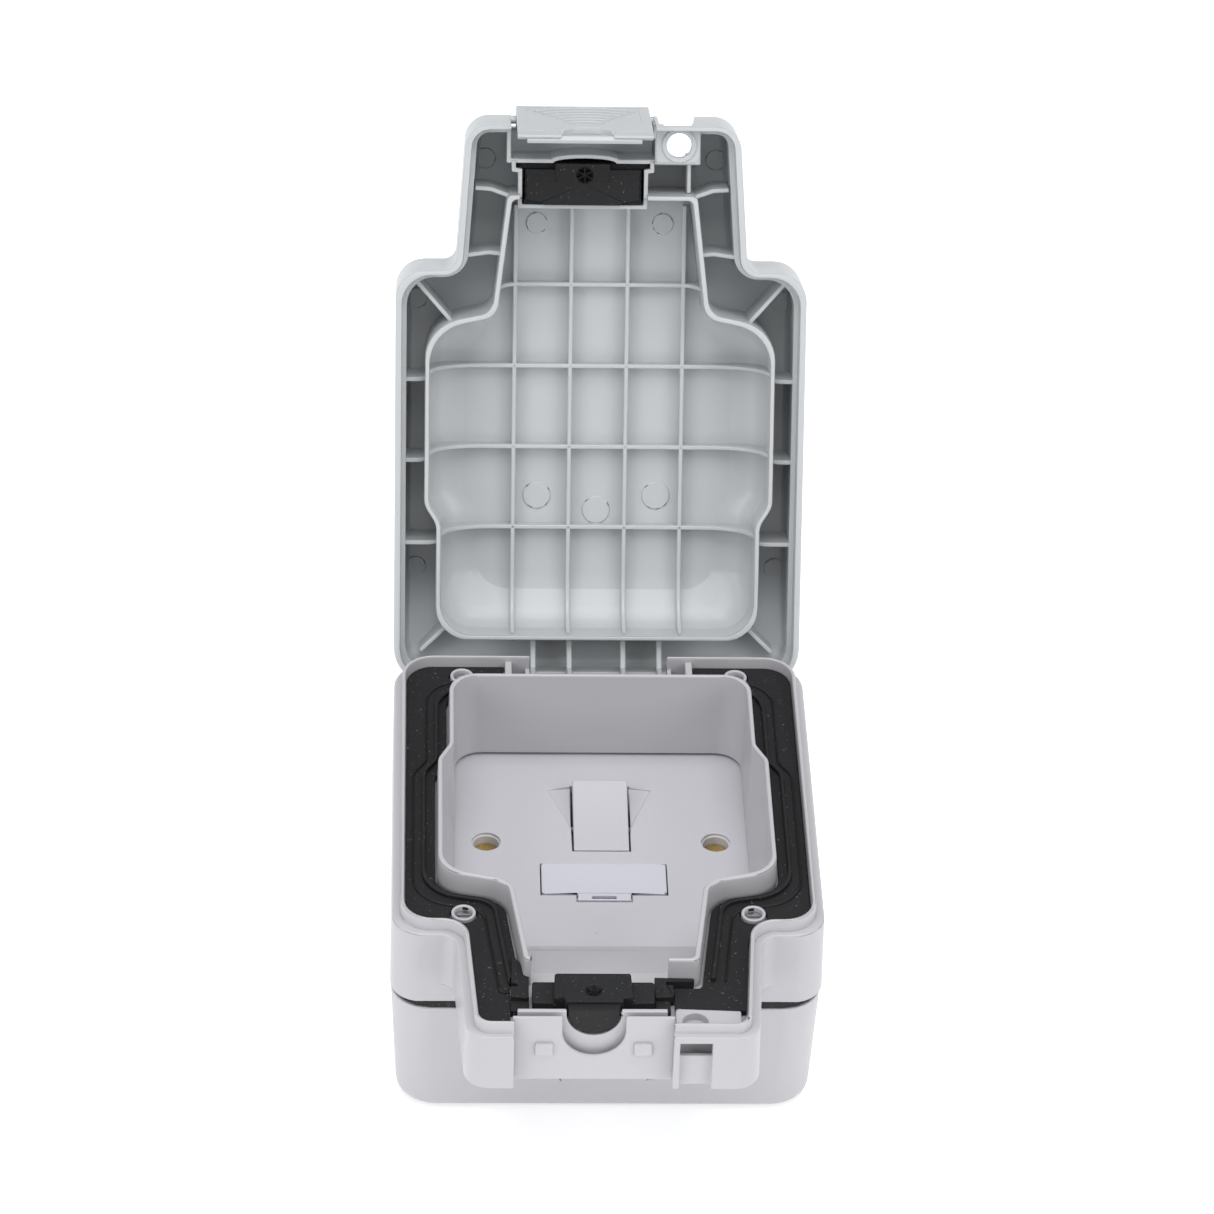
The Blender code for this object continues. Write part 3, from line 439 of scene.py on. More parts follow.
def cable_ramp():
    """Sloping floor from the plate up to the cable seal, trimmed to the collar's inside."""
    ramp = shape(prism([(-38.8, 41.8), (-68.6, 58.6), (-69.6, 59.0), (-78.0, 59.0), (-78.0, 56.6),
                        (-44.0, 41.2)], -23.4, 23.4))
    inside = loft([(collar_foot(0.5), COLLAR_Z[0] - 4), (collar_foot(0.5), COLLAR_Z[0]),
                   (collar_outline(-0.6, end_y=80), COLLAR_Z[1])])
    combine(ramp, "INTERSECT", [inside])
    return ramp


def u_notch(height, radius, start, end):
    """Round-bottomed notch that is open at the top, between two distances along Y."""
    return (rod((LATCH_MID, start, height), (LATCH_MID, end, height), radius, sides=48),
            block((LATCH_MID - radius, end, height), (LATCH_MID + radius, start, ABOVE_Z)))


def latch_recess():
    """Front wall of the neck, set back where the latch closes, with its catches and padlock pad."""
    low, high = LATCH_X
    floor_z, top = NECK_FLOOR_Z[0], RIM_Z + 0.1
    face = shape(block((low - 0.4, -LATCH_FACE_Y, floor_z), (high + 0.2, -91.1, top)))
    cut(face, *u_notch(*NOTCH, -90.0, -96.0))
    inner = shape(block((low + 0.8, -89.9, floor_z + 0.3), (high - 1.6, -88.7, RIM_Z + 0.3)))
    cut(inner, *u_notch(TONGUE[0], TONGUE[1] + 0.1, -85.7, -92.0))
    shelf = block((low + 0.4, -91.0, 49.4), (high - 0.6, -89.4, 50.4))
    backing = block((15.6, -90.4, floor_z + 0.3), (25.4, -89.4, 58.4))
    catch = [(-CATCH_Y, 52.6), (-CATCH_Y, 56.1), (-LATCH_FACE_Y + 0.5, 56.1), (-LATCH_FACE_Y + 0.5, 51.8),
             (-LATCH_FACE_Y - 0.2, 51.8)]
    catches = [prism(catch, x - CATCH_T, x + CATCH_T) for x in (LATCH_MID - CATCH_X, LATCH_MID + CATCH_X)]
    pad_plan = [(15.4, -93.6, 0.3), (31.6, -93.4, 0.5), (31.6, -86.0, 0.5), (15.4, -85.2, 1.2)]
    pad = shape(slab(rounded(pad_plan), 58.0, 61.3))
    cut(pad, rod((*PADLOCK, 40), (*PADLOCK, 64), PADLOCK_R - 0.1, sides=40))
    return [face, inner, shelf, backing, pad] + catches


def hinge_pocket():
    """Floor and back of the pocket for the lid's lugs, and the ears that hold the pins."""
    floor_z, over_z = HINGE_FLOOR_Z
    shapes = [block((-25, 47.6, floor_z), (25, 49.0, 60)), block((-25, 47.6, floor_z), (25, 55.0, over_z))]
    for side in SIDES:
        ear, cheek = sorted((side * 19.6, side * 18.4)), sorted((side * 23.2, side * 25.0))
        lugs = [shape(block((ear[0], 48.5, over_z - 1), (ear[1], 56.6, 60.2))),
                shape(block((cheek[0], 45.4, over_z - 1), (cheek[1], 54.5, 62.5)))]
        start, end = (side * 5, HINGE_Y, HINGE_Z), (side * 25.4, HINGE_Y, HINGE_Z)
        for lug in lugs:
            cut(lug, rod(start, end, PIN_R + GAP, sides=24))
        shapes += lugs
    return shapes


def bosses():
    """Bosses that hold the four frame screws."""
    shapes = []
    for sx in SIDES:
        for sy in SIDES:
            at = (sx * FRAME_SCREW[0], sy * FRAME_SCREW[1])
            boss = shape(rod((*at, FRAME_Z), (*at, 61.6), 3.1))
            cut(boss, rod((*at, 44), (*at, 63), 2.3), rod((*at, FRAME_Z - 2), (*at, 45), 2.0))
            shapes.append(boss)
    return shapes


def back_box():
    """Back box with pads, screw posts and knockouts; its walls lean out a little towards the front."""
    sections = [((50.6, 52.3), 8, BACK_Z), ((51.4, 53.1), 8.8, BACK_Z + 0.25),
                ((52.6, 54.3), 9.5, BACK_Z + 1), ((53.2, 54.9), 9.9, BACK_Z + 2),
                ((53.4, 55.1), 10, BACK_Z + 3.2), ((54.7, 56.6), 10, BOX_TOP_Z)]
    body = shape(loft([(rectangle(*half, radius), z) for half, radius, z in sections]))
    cut(body, loft([(rectangle(50.4, 52.1, 7.5), FLOOR_Z), (rectangle(52.0, 53.9, 7.5), BOX_TOP_Z + 1)]))
    for sx in SIDES:
        for sy in SIDES:
            (x, y), (dx, dy) = WALL_PAD, WALL_PAD_SIZE
            join(body, block((sx * x - dx, sy * y - dy, 0), (sx * x + dx, sy * y + dy, WALL_PAD_Z)))
            at = (sx * FRAME_SCREW[0], sy * FRAME_SCREW[1])
            hole = (sx * WALL_HOLE[0], sy * WALL_HOLE[1])
            join(body, rod((*at, FLOOR_Z - 1), (*at, BOX_TOP_Z), 4.4))
            cut(body, rod((*at, 20), (*at, 40), 2.5), rod((*hole, -1), (*hole, 5), 2.4))
        foot = (sx * PLATE_SCREW[0], PLATE_SCREW[1])
        join(body, rod((*foot, FLOOR_Z - 1), (*foot, 30), 4.2))
        cut(body, rod((*foot, 16), (*foot, 34), 2.5))
    join(body, rod((0, 0, 0), (0, 0, WALL_PAD_Z), 9))
    for dx, dy in ((0, -1), (0, 1), (-1, 0), (1, 0)):
        knockout(body, dx, dy)
    piece("box_shell", [body], "base_plastic", "base", ["back_box"])


def knockout(body, dx, dy):
    """Ring groove outside and thinned disc inside, on the wall that faces (dx, dy)."""
    wall = 53.9 if dx else 55.8

    def bar(start, end, radius, sides=64):
        """Rod square to the wall, between two distances from the box's middle."""
        return rod((dx * start, dy * start, KNOCKOUT_Z), (dx * end, dy * end, KNOCKOUT_Z), radius,
                   sides=sides)

    ring = shape(bar(wall - 0.4, wall + 4, KNOCKOUT_R))
    cut(ring, bar(40, 70, KNOCKOUT_R - KNOCKOUT_T))
    cut(body, ring, bar(wall - 6, wall - 1.5, KNOCKOUT_R - 2, sides=48))


def face_gasket():
    """Rubber sheet with the raised lip that meets the lid's sealing wall."""
    low, high = GASKET_Z
    under, over = low - 1, high + 3
    sheet = shape(slab(plan_outline(3.3, 2.7), low, high))
    screws = [(sx * FRAME_SCREW[0], sy * FRAME_SCREW[1]) for sx in SIDES for sy in SIDES]
    cut(sheet, slab(collar_outline(0.8, end_y=76.4), under, over),
        block((-25.4, 45.0, under), (25.4, OUTER, over)),
        block((-25.2, OUTSIDE_Y, under), (15.4, -74.6, over)),
        block((14.0, OUTSIDE_Y, under), (40, -85.4, over)),
        *[rod((*at, 58), (*at, 63), 3.5) for at in screws])
    lips = []
    for outer, inner, rise in ((0.9, -0.1, 1.2), (3.4, 2.8, 0.5)):
        top = high + rise
        lip = shape(loft([(seal_outline(outer), high - 0.5), (seal_outline(outer), top - 0.2),
                          (seal_outline(outer - 0.25), top), (seal_outline(inner + 0.25), top),
                          (seal_outline(inner), top - 0.2), (seal_outline(inner), high - 0.5)], ring=True))
        cut(lip, block((-25.4, 42.0, under), (25.4, OUTER, over)),
            block((-25.2, OUTSIDE_Y, under), (40, -74.6, over)))
        lips.append(lip)
    piece("gasket_sheet", [sheet] + lips, "rubber", "base", ["face_gasket"], edge=0.12)


def star(centre, reach, outer_z, inner_z, radii, phase):
    """Six fine ridges that meet in the middle of a dent; reach is their length along X and Y."""
    (x, y), (dx, dy) = centre, reach
    return [rod((x + dx * math.cos(a), y + dy * math.sin(a), outer_z), (x, y, inner_z), *radii, 8)
            for a in (math.pi * i / 3 + phase for i in range(6))]


def cable_seal():
    """Rubber bridge over the cable way, with its ridge, tongue and dent."""
    low = GASKET_Z[0]
    height, radius = TONGUE
    bridge = shape(soft_block((-19.8, -85.9, low), (10.4, -78.0, 63.6), 0.4, 0.8))
    ridge_plan = [(-14.6, -86.0, 0.2), (-11.9, -86.0, 0.2), (-11.9, -87.4, 0.3), (2.5, -87.4, 0.3),
                  (2.5, -86.0, 0.2), (5.0, -86.0, 0.2), (4.6, -76.8, 0.8), (-14.2, -76.8, 0.8)]
    ridge = shape(slab(rounded(ridge_plan), 61.5, 65.4))
    start, end = (LATCH_MID, -86.0, height), (LATCH_MID, -89.9, height)
    tongue = shape(rod(start, end, radius, radius - 0.4, sides=48))
    cut(tongue, block((-20, -95, 64.6), (20, -80, 72)))
    cut(ridge, rod((*SEAL_DENT, 64.2), (*SEAL_DENT, 67), 1.5, 3.2, 24))
    ridges = star(SEAL_DENT, (2.6, 2.6), 65.2, 64.1, (0.22, 0.3), 0.4)
    piece("seal_bridge", [bridge, ridge, tongue] + ridges, "rubber", "base", ["cable_seal"], edge=0.2)


def seal_ends():
    """Rubber corner blocks at the two ends of the cable seal, each with its own shape."""
    low, wide_top, near_top = GASKET_Z[0], 62.2, 61.0
    left_plan = [(-25.0, -82.0), (-20.6, -82.4), (-20.6, -77.9), (-20.5, -72.4), (-24.6, -66.0),
                 (-24.9, -76.6), (-23.3, -77.0), (-23.3, -77.9), (-25.0, -78.0)]
    right_plan = [(10.6, -82.2, 0.3), (15.2, -81.8, 0.3), (15.2, -77.4, 0.3), (13.4, -77.2, 0.3),
                  (13.4, -76.0, 0.3), (20.4, -76.0, 0.3), (20.4, -74.9, 0.3), (10.6, -74.6, 0.3)]
    left = [slab(left_plan, low, wide_top),
            soft_block((-25.1, -86.2, low), (-20.6, -81.0, near_top), 0.3)]
    right = [slab(rounded(right_plan), low, wide_top),
             soft_block((10.6, -86.2, low), (14.3, -80.0, near_top), 0.3)]
    piece("seal_end_left", left, "rubber", "base", ["seal_corner_left"], edge=0.15)
    piece("seal_end_right", right, "rubber", "base", ["seal_corner_right"], edge=0.15)


def accessory_plate():
    """Switch plate with its stepped screw wells and the cheeks beside the rocker."""
    z0, z1 = PLATE_Z
    (x0, x1), (y0, y1) = ROCKER_X, ROCKER_Y
    plan = [(43.5, 44.6, 5), (-43.5, 44.6, 5), (-43.5, -38, 5), (-24, -46, 3), (24, -46, 3), (43.5, -38, 5)]
    plate = shape(slab(rounded(plan), z0, z1))
    for side, edge_x in zip(SIDES, ROCKER_X):
        at = (side * PLATE_SCREW[0], PLATE_SCREW[1])
        join(plate, rod((*at, 30.6), (*at, z1 - 1), 5.0))
        cut(plate, rod((*at, 33.4), (*at, z1 + 1), 3.35, sides=40),
            rod((*at, z1 - 0.9), (*at, z1 + 1), 3.75, sides=40), rod((*at, 29), (*at, 35), 2.0))
        cheek = [(edge_x, y1 - 0.5), (edge_x + side * 6.2, y1 - 1.4), (edge_x, y0 + 8.5)]
        cut(plate, loft([(rounded([(x, y, 0.2) for x, y in cheek]), z1 - 0.55),
                         (rounded([(x + side * 0.3, y, 0.2) for x, y in cheek]), z1 + 1)]))
    cut(plate, block((x0 - GAP, y0 - GAP, z0 - 3), (x1 + GAP, y1 + GAP, z1 + 1)),
        block((FUSE_X[0] - GAP, FUSE_Y[0] - GAP, z0 - 3), (FUSE_X[1] + GAP, FUSE_Y[1] + GAP, z1 + 1)),
        block((-6.9, FUSE_Y[0] - 3.0, z1 - 0.9), (7.6, FUSE_Y[0] + 1, z1 + 1)))
    piece("plate", [plate], "plate_plastic", "base", ["accessory_plate"], edge=0.18)


def rocker():
    """Rocker with its faintly hollow top, made level and then tipped."""
    x0, x1, y0, y1 = ROCKER_X[0] + 0.15, ROCKER_X[1] - 0.15, ROCKER_Y[0] + 1.0, ROCKER_Y[1] - 1.0
    y, z = ROCKER_PIVOT
    top, hollow, steps = 43.0, 0.5, 12
    profile = [(y0 + (y1 - y0) * i / steps, top - hollow * math.sin(math.pi * i / steps))
               for i in range(steps + 1)]
    profile += [(y1 - 0.9, 38.6), (y + 3.2, 35.8), (y + 1.6, 31.5), (y - 1.6, 31.5), (y - 3.2, 35.8),
                (y0 + 0.9, 38.6)]
    body = shape(prism(profile, x0, x1))
    cut(body, rod((x0 - 1, y, z), (x1 + 1, y, z), PIN_R))
    piece("rocker_cap", [body], "plate_plastic", "rocker", ["rocker_switch"], tipped())


def fuse_carrier():
    """Carrier with its slotted pull tab in front and the cradle for the fuse behind."""
    (x0, x1), (y0, y1) = FUSE_X, FUSE_Y
    x, y, top = (x0 + x1) / 2, (y0 + y1) / 2, 41.3
    body = shape(slab(rectangle((x1 - x0) / 2, (y1 - y0) / 2, 1.0, (x, y), 6), 38.9, top))
    join(body, block((-6.5, y0 - 2.6, 40.4), (7.2, y0 + 1, top - 0.02)))
    cut(body, block((-2.9, y0 - 2.1, 40.0), (3.4, y0 - 0.9, top + 1)))
    join(body, block((x0 + 0.6, y - 4.6, 22.5), (x1 - 0.6, y + 4.6, 39.2)))
    cut(body, block((x0 + 1.6, y - 3.7, 20), (x1 - 1.6, y + 3.7, 36.8)))
    piece("carrier", [body], "carrier_plastic", "fuse", ["fuse_carrier"], edge=0.2)


# ---------------------------------------------------------------- lid

def lid_shell():
    """Lid with everything that is moulded in one with it."""
    shapes = [lid_cup(), sealing_wall(), cove()]
    shapes += lid_ribs() + latch_housing() + padlock_tab() + hinge_lugs() + pin_marks()
    piece("lid_shell", shapes, "lid_plastic", "lid", ["lid"], opened())


def lid_cup():
    """Cup of the lid: floor, walls that flare slightly, and its stepped rim."""
    sections = [((3.9, 3.9), LID_FLOOR_Z), ((3.3, 3.1), 81.5), ((2.8, 2.5), 80.2), ((2.6, 2.3), 78.0),
                ((2.6, 2.4), 66.5), ((1.4, 1.15), 66.3), ((1.4, 1.15), 61.0), ((1.1, 0.85), 60.7),
                ((0.1, 0.3), 60.7), ((-0.25, 0.05), 60.85), ((-0.4, -0.1), 61.2), ((-0.4, -0.8), 79.4),
                ((-0.2, -0.55), 81.0), ((0.4, 0.15), 82.4), ((1.4, 1.2), 83.6), ((2.9, 2.8), LID_TOP_Z)]
    cup = shape(fall_away(loft([(plan_outline(*inset), z) for inset, z in sections])))
    x0, x1 = CLIP_ROOM_X
    low, high = TAB_Z
    notch = [(OUTSIDE_Y, high), (-85.9, high), (-82.3, ABOVE_Z), (OUTSIDE_Y, ABOVE_Z)]
    cut(cup, block((x0, OUTSIDE_Y, 59), (x1, -92.4, ABOVE_Z)), prism(notch, *TAB_X),
        block((TAB_X[0] + 1.2, OUTSIDE_Y, low - 0.6), (TAB_X[1] - 1.4, -94.6, ABOVE_Z)),
        rod((*PADLOCK, 58), (*PADLOCK, ABOVE_Z), PADLOCK_R))
    return cup


def sealing_wall():
    """Wall that presses on the gasket's lip, open where the rubber block sits."""
    line = ((0.65, 62.8), (0.4, 62.5), (-0.4, 62.5), (-0.65, 62.8), (-0.65, RIB_TOP_Z), (0.65, RIB_TOP_Z))
    wall = shape(fall_away(loft([(seal_outline(grow), z) for grow, z in line], ring=True)))
    cut(wall, block((-22.0, -80, 60), (12.0, -72.5, 79)))
    return wall


def cove():
    """Rounded corner between the sealing wall and the lid's top."""
    line = ((0, 72.0), (0.3, 75.0), (1.0, 77.8), (2.4, 79.8), (4.6, 81.2), (8.0, 81.9), (11, 82.1),
            (11, RIB_TOP_Z), (0, RIB_TOP_Z))
    return fall_away(loft([(seal_outline(-0.3 - 0.02 * reach, reach), z) for reach, z in line], ring=True))


def lid_ribs():
    """Ribs under the lid's top: their edges curve up where they meet the sealing wall."""
    half = RIB_T / 2
    ribs = []
    curve = [(0.0, 64.6), (0.8, 68.0), (2.2, 71.5), (4.4, 74.4), (7.4, 76.5), (11.0, 77.7), (15.0, 78.2)]
    for side in SIDES:
        for x in RIB_X:
            far = [(42.9 - 0.5 * step, z) for step, z in curve]
            profile = [(-72.0, 78.2)] + far[::-1] + [(42.9, RIB_TOP_Z), (-72.0, RIB_TOP_Z)]
            ribs.append(fall_away(prism(profile, side * x - half, side * x + half)))
    for y, reach, squeeze in ((-50.4, 27.4, 0.35), (-28.2, 45.8, 1), (-6.0, 45.8, 1), (16.2, 42.5, 1)):
        line = [(reach - squeeze * step, z) for step, z in curve]
        profile = [(-x, z) for x, z in line] + line[::-1] + [(reach, RIB_TOP_Z), (-reach, RIB_TOP_Z)]
        ribs.append(across(profile, y - half, y + half))
    return ribs + outer_ribs()


def outer_ribs():
    """Short ribs between the sealing wall and the lid's outer wall, square to it or at its corners."""
    half, wall_x = RIB_T / 2, 52.2
    ribs = []
    for side in SIDES:
        for y, inner in ((-26.2, 45.8), (-4.2, 45.8), (18.4, 42.6)):
            line = [(inner, 68.6), (inner + 2.6, RIB_LOW_Z), (wall_x, RIB_LOW_Z), (wall_x, RIB_TOP_Z),
                    (inner, RIB_TOP_Z)]
            ribs.append(across([(side * x, z) for x, z in line], y - half, y + half))
        for line in (((24.2, -75.6), (29.6, -77.6), (33.8, -77.8)),
                     ((26.4, -60.2), (30.0, -60.6), (35.8, -59.8)),
                     ((39.7, -41.8), (49.9, -53.5)), ((40.2, 41.1), (47.7, 48.3))):
            ribs.append(fall_away(run_of([(side * x, y) for x, y in line], RIB_T, RIB_LOW_Z, RIB_TOP_Z)))
    return ribs


def latch_housing():
    """Walls of the room behind the clip, and the holder of the rubber block."""
    t, top = CLIP_ROOM_T, ROOM_TOP_Z
    x0, x1 = CLIP_ROOM_X[0] - t / 2, CLIP_ROOM_X[1] + t / 2
    back_y = -85.3
    bulge = [(LATCH_MID + 8.6 * math.cos(a), back_y - 1.3 * math.sin(a)) for a in angles(math.pi, 0, 12)]
    room = run_of([(x0, -94.6), (x0, back_y), *bulge, (x1, back_y), (x1, -94.9)], t, 66.3, top)
    holder = [run_of([(-23.6, -85.4), (-23.6, -82.9), (-21.9, -82.7), (-21.9, -75.6)], t, HOLDER_Z, top),
              run_of([(11.6, -75.6), (11.6, -82.7), (13.2, -82.9), (13.2, -85.4)], t, HOLDER_Z, top),
              run_of([(-21.9, -76.0), (-21.9, -72.9), (11.6, -72.9), (11.6, -76.0)], t, HOLDER_Z + 2, top)]
    post = soft_block((13.4, -95.2, 64.6), (14.7, -91.6, 82.8), 0.3)
    back = block((CLIP_ROOM_X[0] - 0.4, -91.8, 81.6), (CLIP_ROOM_X[1] + 0.4, -85.0, 83.4))
    return [room, post, back] + holder


def padlock_tab():
    """Tab with its ringed hole, in a notch that is open to the outside."""
    (low, high), (tab_z, top_z) = TAB_X, TAB_Z
    t, top = CLIP_ROOM_T, ROOM_TOP_Z
    tab = shape(slab(rounded([(low - 0.9, -94.6, 0.3), (high + 1.0, -94.6, 0.3), (high + 1.0, -85.3, 2.0),
                              (low - 0.9, -85.3, 0.5)]), tab_z, top_z + 0.2))
    ring = shape(rod((*PADLOCK, tab_z - 0.5), (*PADLOCK, tab_z + 1), 4.6, sides=48))
    for target in (tab, ring):
        cut(target, rod((*PADLOCK, 58), (*PADLOCK, ABOVE_Z), PADLOCK_R, sides=48))
    walls = [block((x, -94.2, tab_z + 0.3), (x + t, -85.2, top)) for x in (low - t, high)]
    walls.append(block((22.6, -85.8, 67.5), (23.6, -76.8, top)))
    walls.append(prism([(-85.9, tab_z + 0.3), (-84.9, tab_z + 0.3), (-82.0, RIB_TOP_Z), (-83.0, RIB_TOP_Z)],
                       low - t, high + t))
    lip = block((low - 0.6, -94.9, tab_z), (high - 1.2, -94.0, top_z + 0.8))
    return [tab, ring, lip] + walls


def hinge_lugs():
    """Lugs that reach down to the hinge axis, rounded about it."""
    profile = [(HINGE_Y + LUG_R * math.cos(a), HINGE_Z + LUG_R * math.sin(a))
               for a in angles(math.pi, 2 * math.pi, 12)]
    profile += [(HINGE_Y + 0.2, 62.0), (HINGE_Y - 0.2, 66.0), (51.5, 70.0), (50.0, 76), (44.5, 76),
                (44.5, 67.5), (52.2, 64.0)]
    lugs = []
    for x in (-17.1, -7.3, 7.3, 17.1):
        lug = shape(prism(profile, x - LUG_T / 2, x + LUG_T / 2))
        cut(lug, rod((x - 2, HINGE_Y, HINGE_Z), (x + 2, HINGE_Y, HINGE_Z), PIN_R + GAP))
        lugs.append(lug)
    return lugs


def pin_marks():
    """Low round marks that the ejector pins left."""
    marks = [((x, y), 2.9) for x, y in ((-17.0, -66.6), (17.0, -66.6))]
    marks += [((x, y), 3.8) for x, y in ((-16.2, 8.0), (16.2, 8.0), (0.0, 12.0))]
    marks += [((side * x, y), 2.8) for side in SIDES for x, y in ((49.0, -46.0), (49.0, 28.0), (31.0, -84.0))]
    low, high = LID_FLOOR_Z - 0.32, LID_FLOOR_Z + 0.5
    return [rod((*at, low), (*at, high), radius, sides=40) for at, radius in marks]


def lid_seal_block():
    """Rubber block with a wide top bar, notched corners, a rolled edge and a star-shaped dent."""
    low, top = HOLDER_Z, 75.0
    plan = [(-20.6, -83.1, 0.4), (10.3, -83.1, 0.4), (10.3, -75.0, 0.4), (5.6, -74.4, 0.3),
            (4.8, -73.6, 0.3), (-15.2, -73.6, 0.3), (-16.0, -74.4, 0.3), (-20.6, -75.0, 0.4)]
    main = shape(slab(rounded(plan), low, 75.6))
    middle = shape(soft_block((-12.6, -84.7, low - 0.2), (2.0, -80.0, top), 0.3))
    bar = soft_block((-22.6, -84.6, low + 2), (12.2, -83.0, top), 0.3)
    feet = block((-20.8, -75.2, low + 2), (10.5, -73.6, top))
    for target in (main, middle):
        cut(target, rod((*BLOCK_DENT, 65.0), (*BLOCK_DENT, 67.2), 3.0, 1.4, 24))
    shapes = [main, middle, bar, feet] + star(BLOCK_DENT, (2.7, 2.4), 66.05, 66.9, (0.25, 0.35), 0.5)
    for side, edge_x in ((-1, -20.4), (1, 10.1)):
        points = [(edge_x + side * 0.18 * math.sin(1.7 * i), -82.6 + 0.62 * i, low) for i in range(12)]
        shapes += [rod(a, b, 0.22, sides=8) for a, b in zip(points, points[1:])]
    piece("lid_rubber", shapes, "rubber", "lid", ["lid_seal_block"], opened(), 0.15)


def latch_clip():
    """Clip with a finger notch, rounded upper corners, a hook strip and grip marks."""
    x0, x1 = CLIP_ROOM_X[0] + 1.4, CLIP_ROOM_X[1] - 1.2
    y, z = CLIP_PIVOT
    low = CLIP_FACE_LOW
    profile = [(-97.7, CLIP_TOP_Z), (-98.4, CLIP_TOP_Z - 1), (low.x - 0.2, low.y + 1.2), (low.x + 0.3, 46.6),
               (-94.0, 46.6), (-93.2, 48.6), (-93.2, 50.6), (-94.2, 51.2), (-94.5, 57.0), (-96.2, 74.0),
               (y + 1.4, z - 2.6), (y + 2.4, z), (y + 1.0, z + 2.2)]
    body = shape(prism(profile, x0, x1))
    cut(body, rod((LATCH_MID, OUTSIDE_Y, 45.0), (LATCH_MID, -92, 45.0), 7.2, sides=64),
        rod((x0 - 1, y, z), (x1 + 1, y, z), 1.4))
    for side, edge_x in ((-1, x0), (1, x1)):
        for turn in (math.radians(22), math.radians(45), math.radians(68)):
            corner = block((-6, -101, 0), (6, -90, 6))
            touch_x = edge_x + side * CLIP_R * (math.sin(turn) - 1)
            touch_z = CLIP_TOP_Z + CLIP_R * (math.cos(turn) - 1)
            corner.transform(Matrix.Translation((touch_x, 0, touch_z)) @ Matrix.Rotation(side * turn, 4, "Y"))
            cut(body, corner)
    hook = prism([(-94.2, 58.0), (-94.3, 47.6), (-93.2, 46.8), (-92.3, 47.6), (-92.3, 50.4), (-93.3, 51.2),
                  (-93.3, 58.0)], x0 + 2.5, x1 - 3.0)
    shapes = [body, hook] + grip_marks(x0 + 2.6, x1 - 2.6)
    piece("clip", shapes, "lid_plastic", "latch", ["latch_clip"], opened(), 0.18)


def face_band(line, width, height):
    """Raised band on the clip's face, along a line of (x, distance up from the tip) points."""
    rise = CLIP_FACE_TOP - CLIP_FACE_LOW
    slant = math.atan2(rise.x, rise.y)
    bm = run_of(line, width, -0.6, height)
    for vert in bm.verts:
        x, up, lift = vert.co
        vert.co = (x, CLIP_FACE_LOW.x + up * math.sin(slant) - lift, CLIP_FACE_LOW.y + up * math.cos(slant))
    return bm


def grip_marks(left, right):
    """Curved grip ribs, a thin frame, two dashes and the lip of the finger notch."""
    marks = []
    for i in range(6):
        radius, half = 11.5 + 3.1 * i, math.radians(23 + 1.3 * i)
        rib = [(LATCH_MID + radius * math.sin(a), 2.5 + radius * math.cos(a))
               for a in angles(-half, half, 20)]
        marks.append(face_band(rib, 0.8, 0.3))
    marks.append(face_band([(left, 5.4), (left, 31.5), (right, 31.5), (right, 5.4)], 0.4, 0.14))
    marks += [face_band([(x, 3.6), (x + 5.0, 3.6)], 0.5, 0.2) for x in (left, right - 5.0)]
    half = math.radians(64)
    lip = [(LATCH_MID + 7.7 * math.sin(a), -2.0 + 7.7 * math.cos(a)) for a in angles(-half, half, 24)]
    marks.append(face_band(lip, 1.0, 0.55))
    return marks


# ---------------------------------------------------------------- materials

def noise(tree, scale, detail):
    """Noise in the piece's own coordinates."""
    made = tree.nodes.new("ShaderNodeTexNoise")
    made.inputs["Scale"].default_value = scale
    made.inputs["Detail"].default_value = detail
    tree.links.new(tree.nodes["where"].outputs["Object"], made.inputs["Vector"])
    return made.outputs["Fac"]


def remap(tree, value, low, high, start=0.1, end=0.9):
    """Value stretched from start..end to low..high."""
    step = tree.nodes.new("ShaderNodeMapRange")
    for socket, number in (("From Min", start), ("From Max", end), ("To Min", low), ("To Max", high)):
        step.inputs[socket].default_value = number
    tree.links.new(value, step.inputs["Value"])
    return step.outputs["Result"]


def mix(tree, factor, second):
    """Colour mix by a factor, with its second colour set; the first is left to the caller."""
    made = tree.nodes.new("ShaderNodeMix")
    made.data_type = "RGBA"
    tree.links.new(factor, made.inputs["Factor"])
    made.inputs["B"].default_value = (*second, 1)
    return made


def new_finish(name, colour, roughness, metallic=0.0, grain=0.0, grain_scale=900.0, spread=0.05, tint=0.02,
               specks=0.0, shine=0.5):
    """Procedural finish: fine grain in the surface, uneven gloss and a slight unevenness of colour."""
    made = bpy.data.materials.new(name)
    made.use_nodes = True
    tree = made.node_tree
    tree.nodes.new("ShaderNodeTexCoord").name = "where"
    shader = tree.nodes["Principled BSDF"]
    shader.inputs["Metallic"].default_value = metallic
    shader.inputs["Specular IOR Level"].default_value = shine
    gloss = remap(tree, noise(tree, 60, 3), roughness - spread, roughness + spread)
    tree.links.new(gloss, shader.inputs["Roughness"])
    shade = mix(tree, remap(tree, noise(tree, 25, 2), 0, 1), [min(c * (1 + tint), 1) for c in colour])
    shade.inputs["A"].default_value = (*[c * (1 - tint) for c in colour], 1)
    colour_out = shade.outputs["Result"]
    if specks:
        dust = mix(tree, remap(tree, noise(tree, 1500, 1), 0, specks, 0.7, 0.8), (0.35, 0.35, 0.36))
        tree.links.new(colour_out, dust.inputs["A"])
        colour_out = dust.outputs["Result"]
    tree.links.new(colour_out, shader.inputs["Base Color"])
    bump = tree.nodes.new("ShaderNodeBump")
    bump.inputs["Strength"].default_value = grain
    bump.inputs["Distance"].default_value = 0.00005
    tree.links.new(noise(tree, grain_scale, 4), bump.inputs["Height"])
    tree.links.new(bump.outputs["Normal"], shader.inputs["Normal"])
    return made


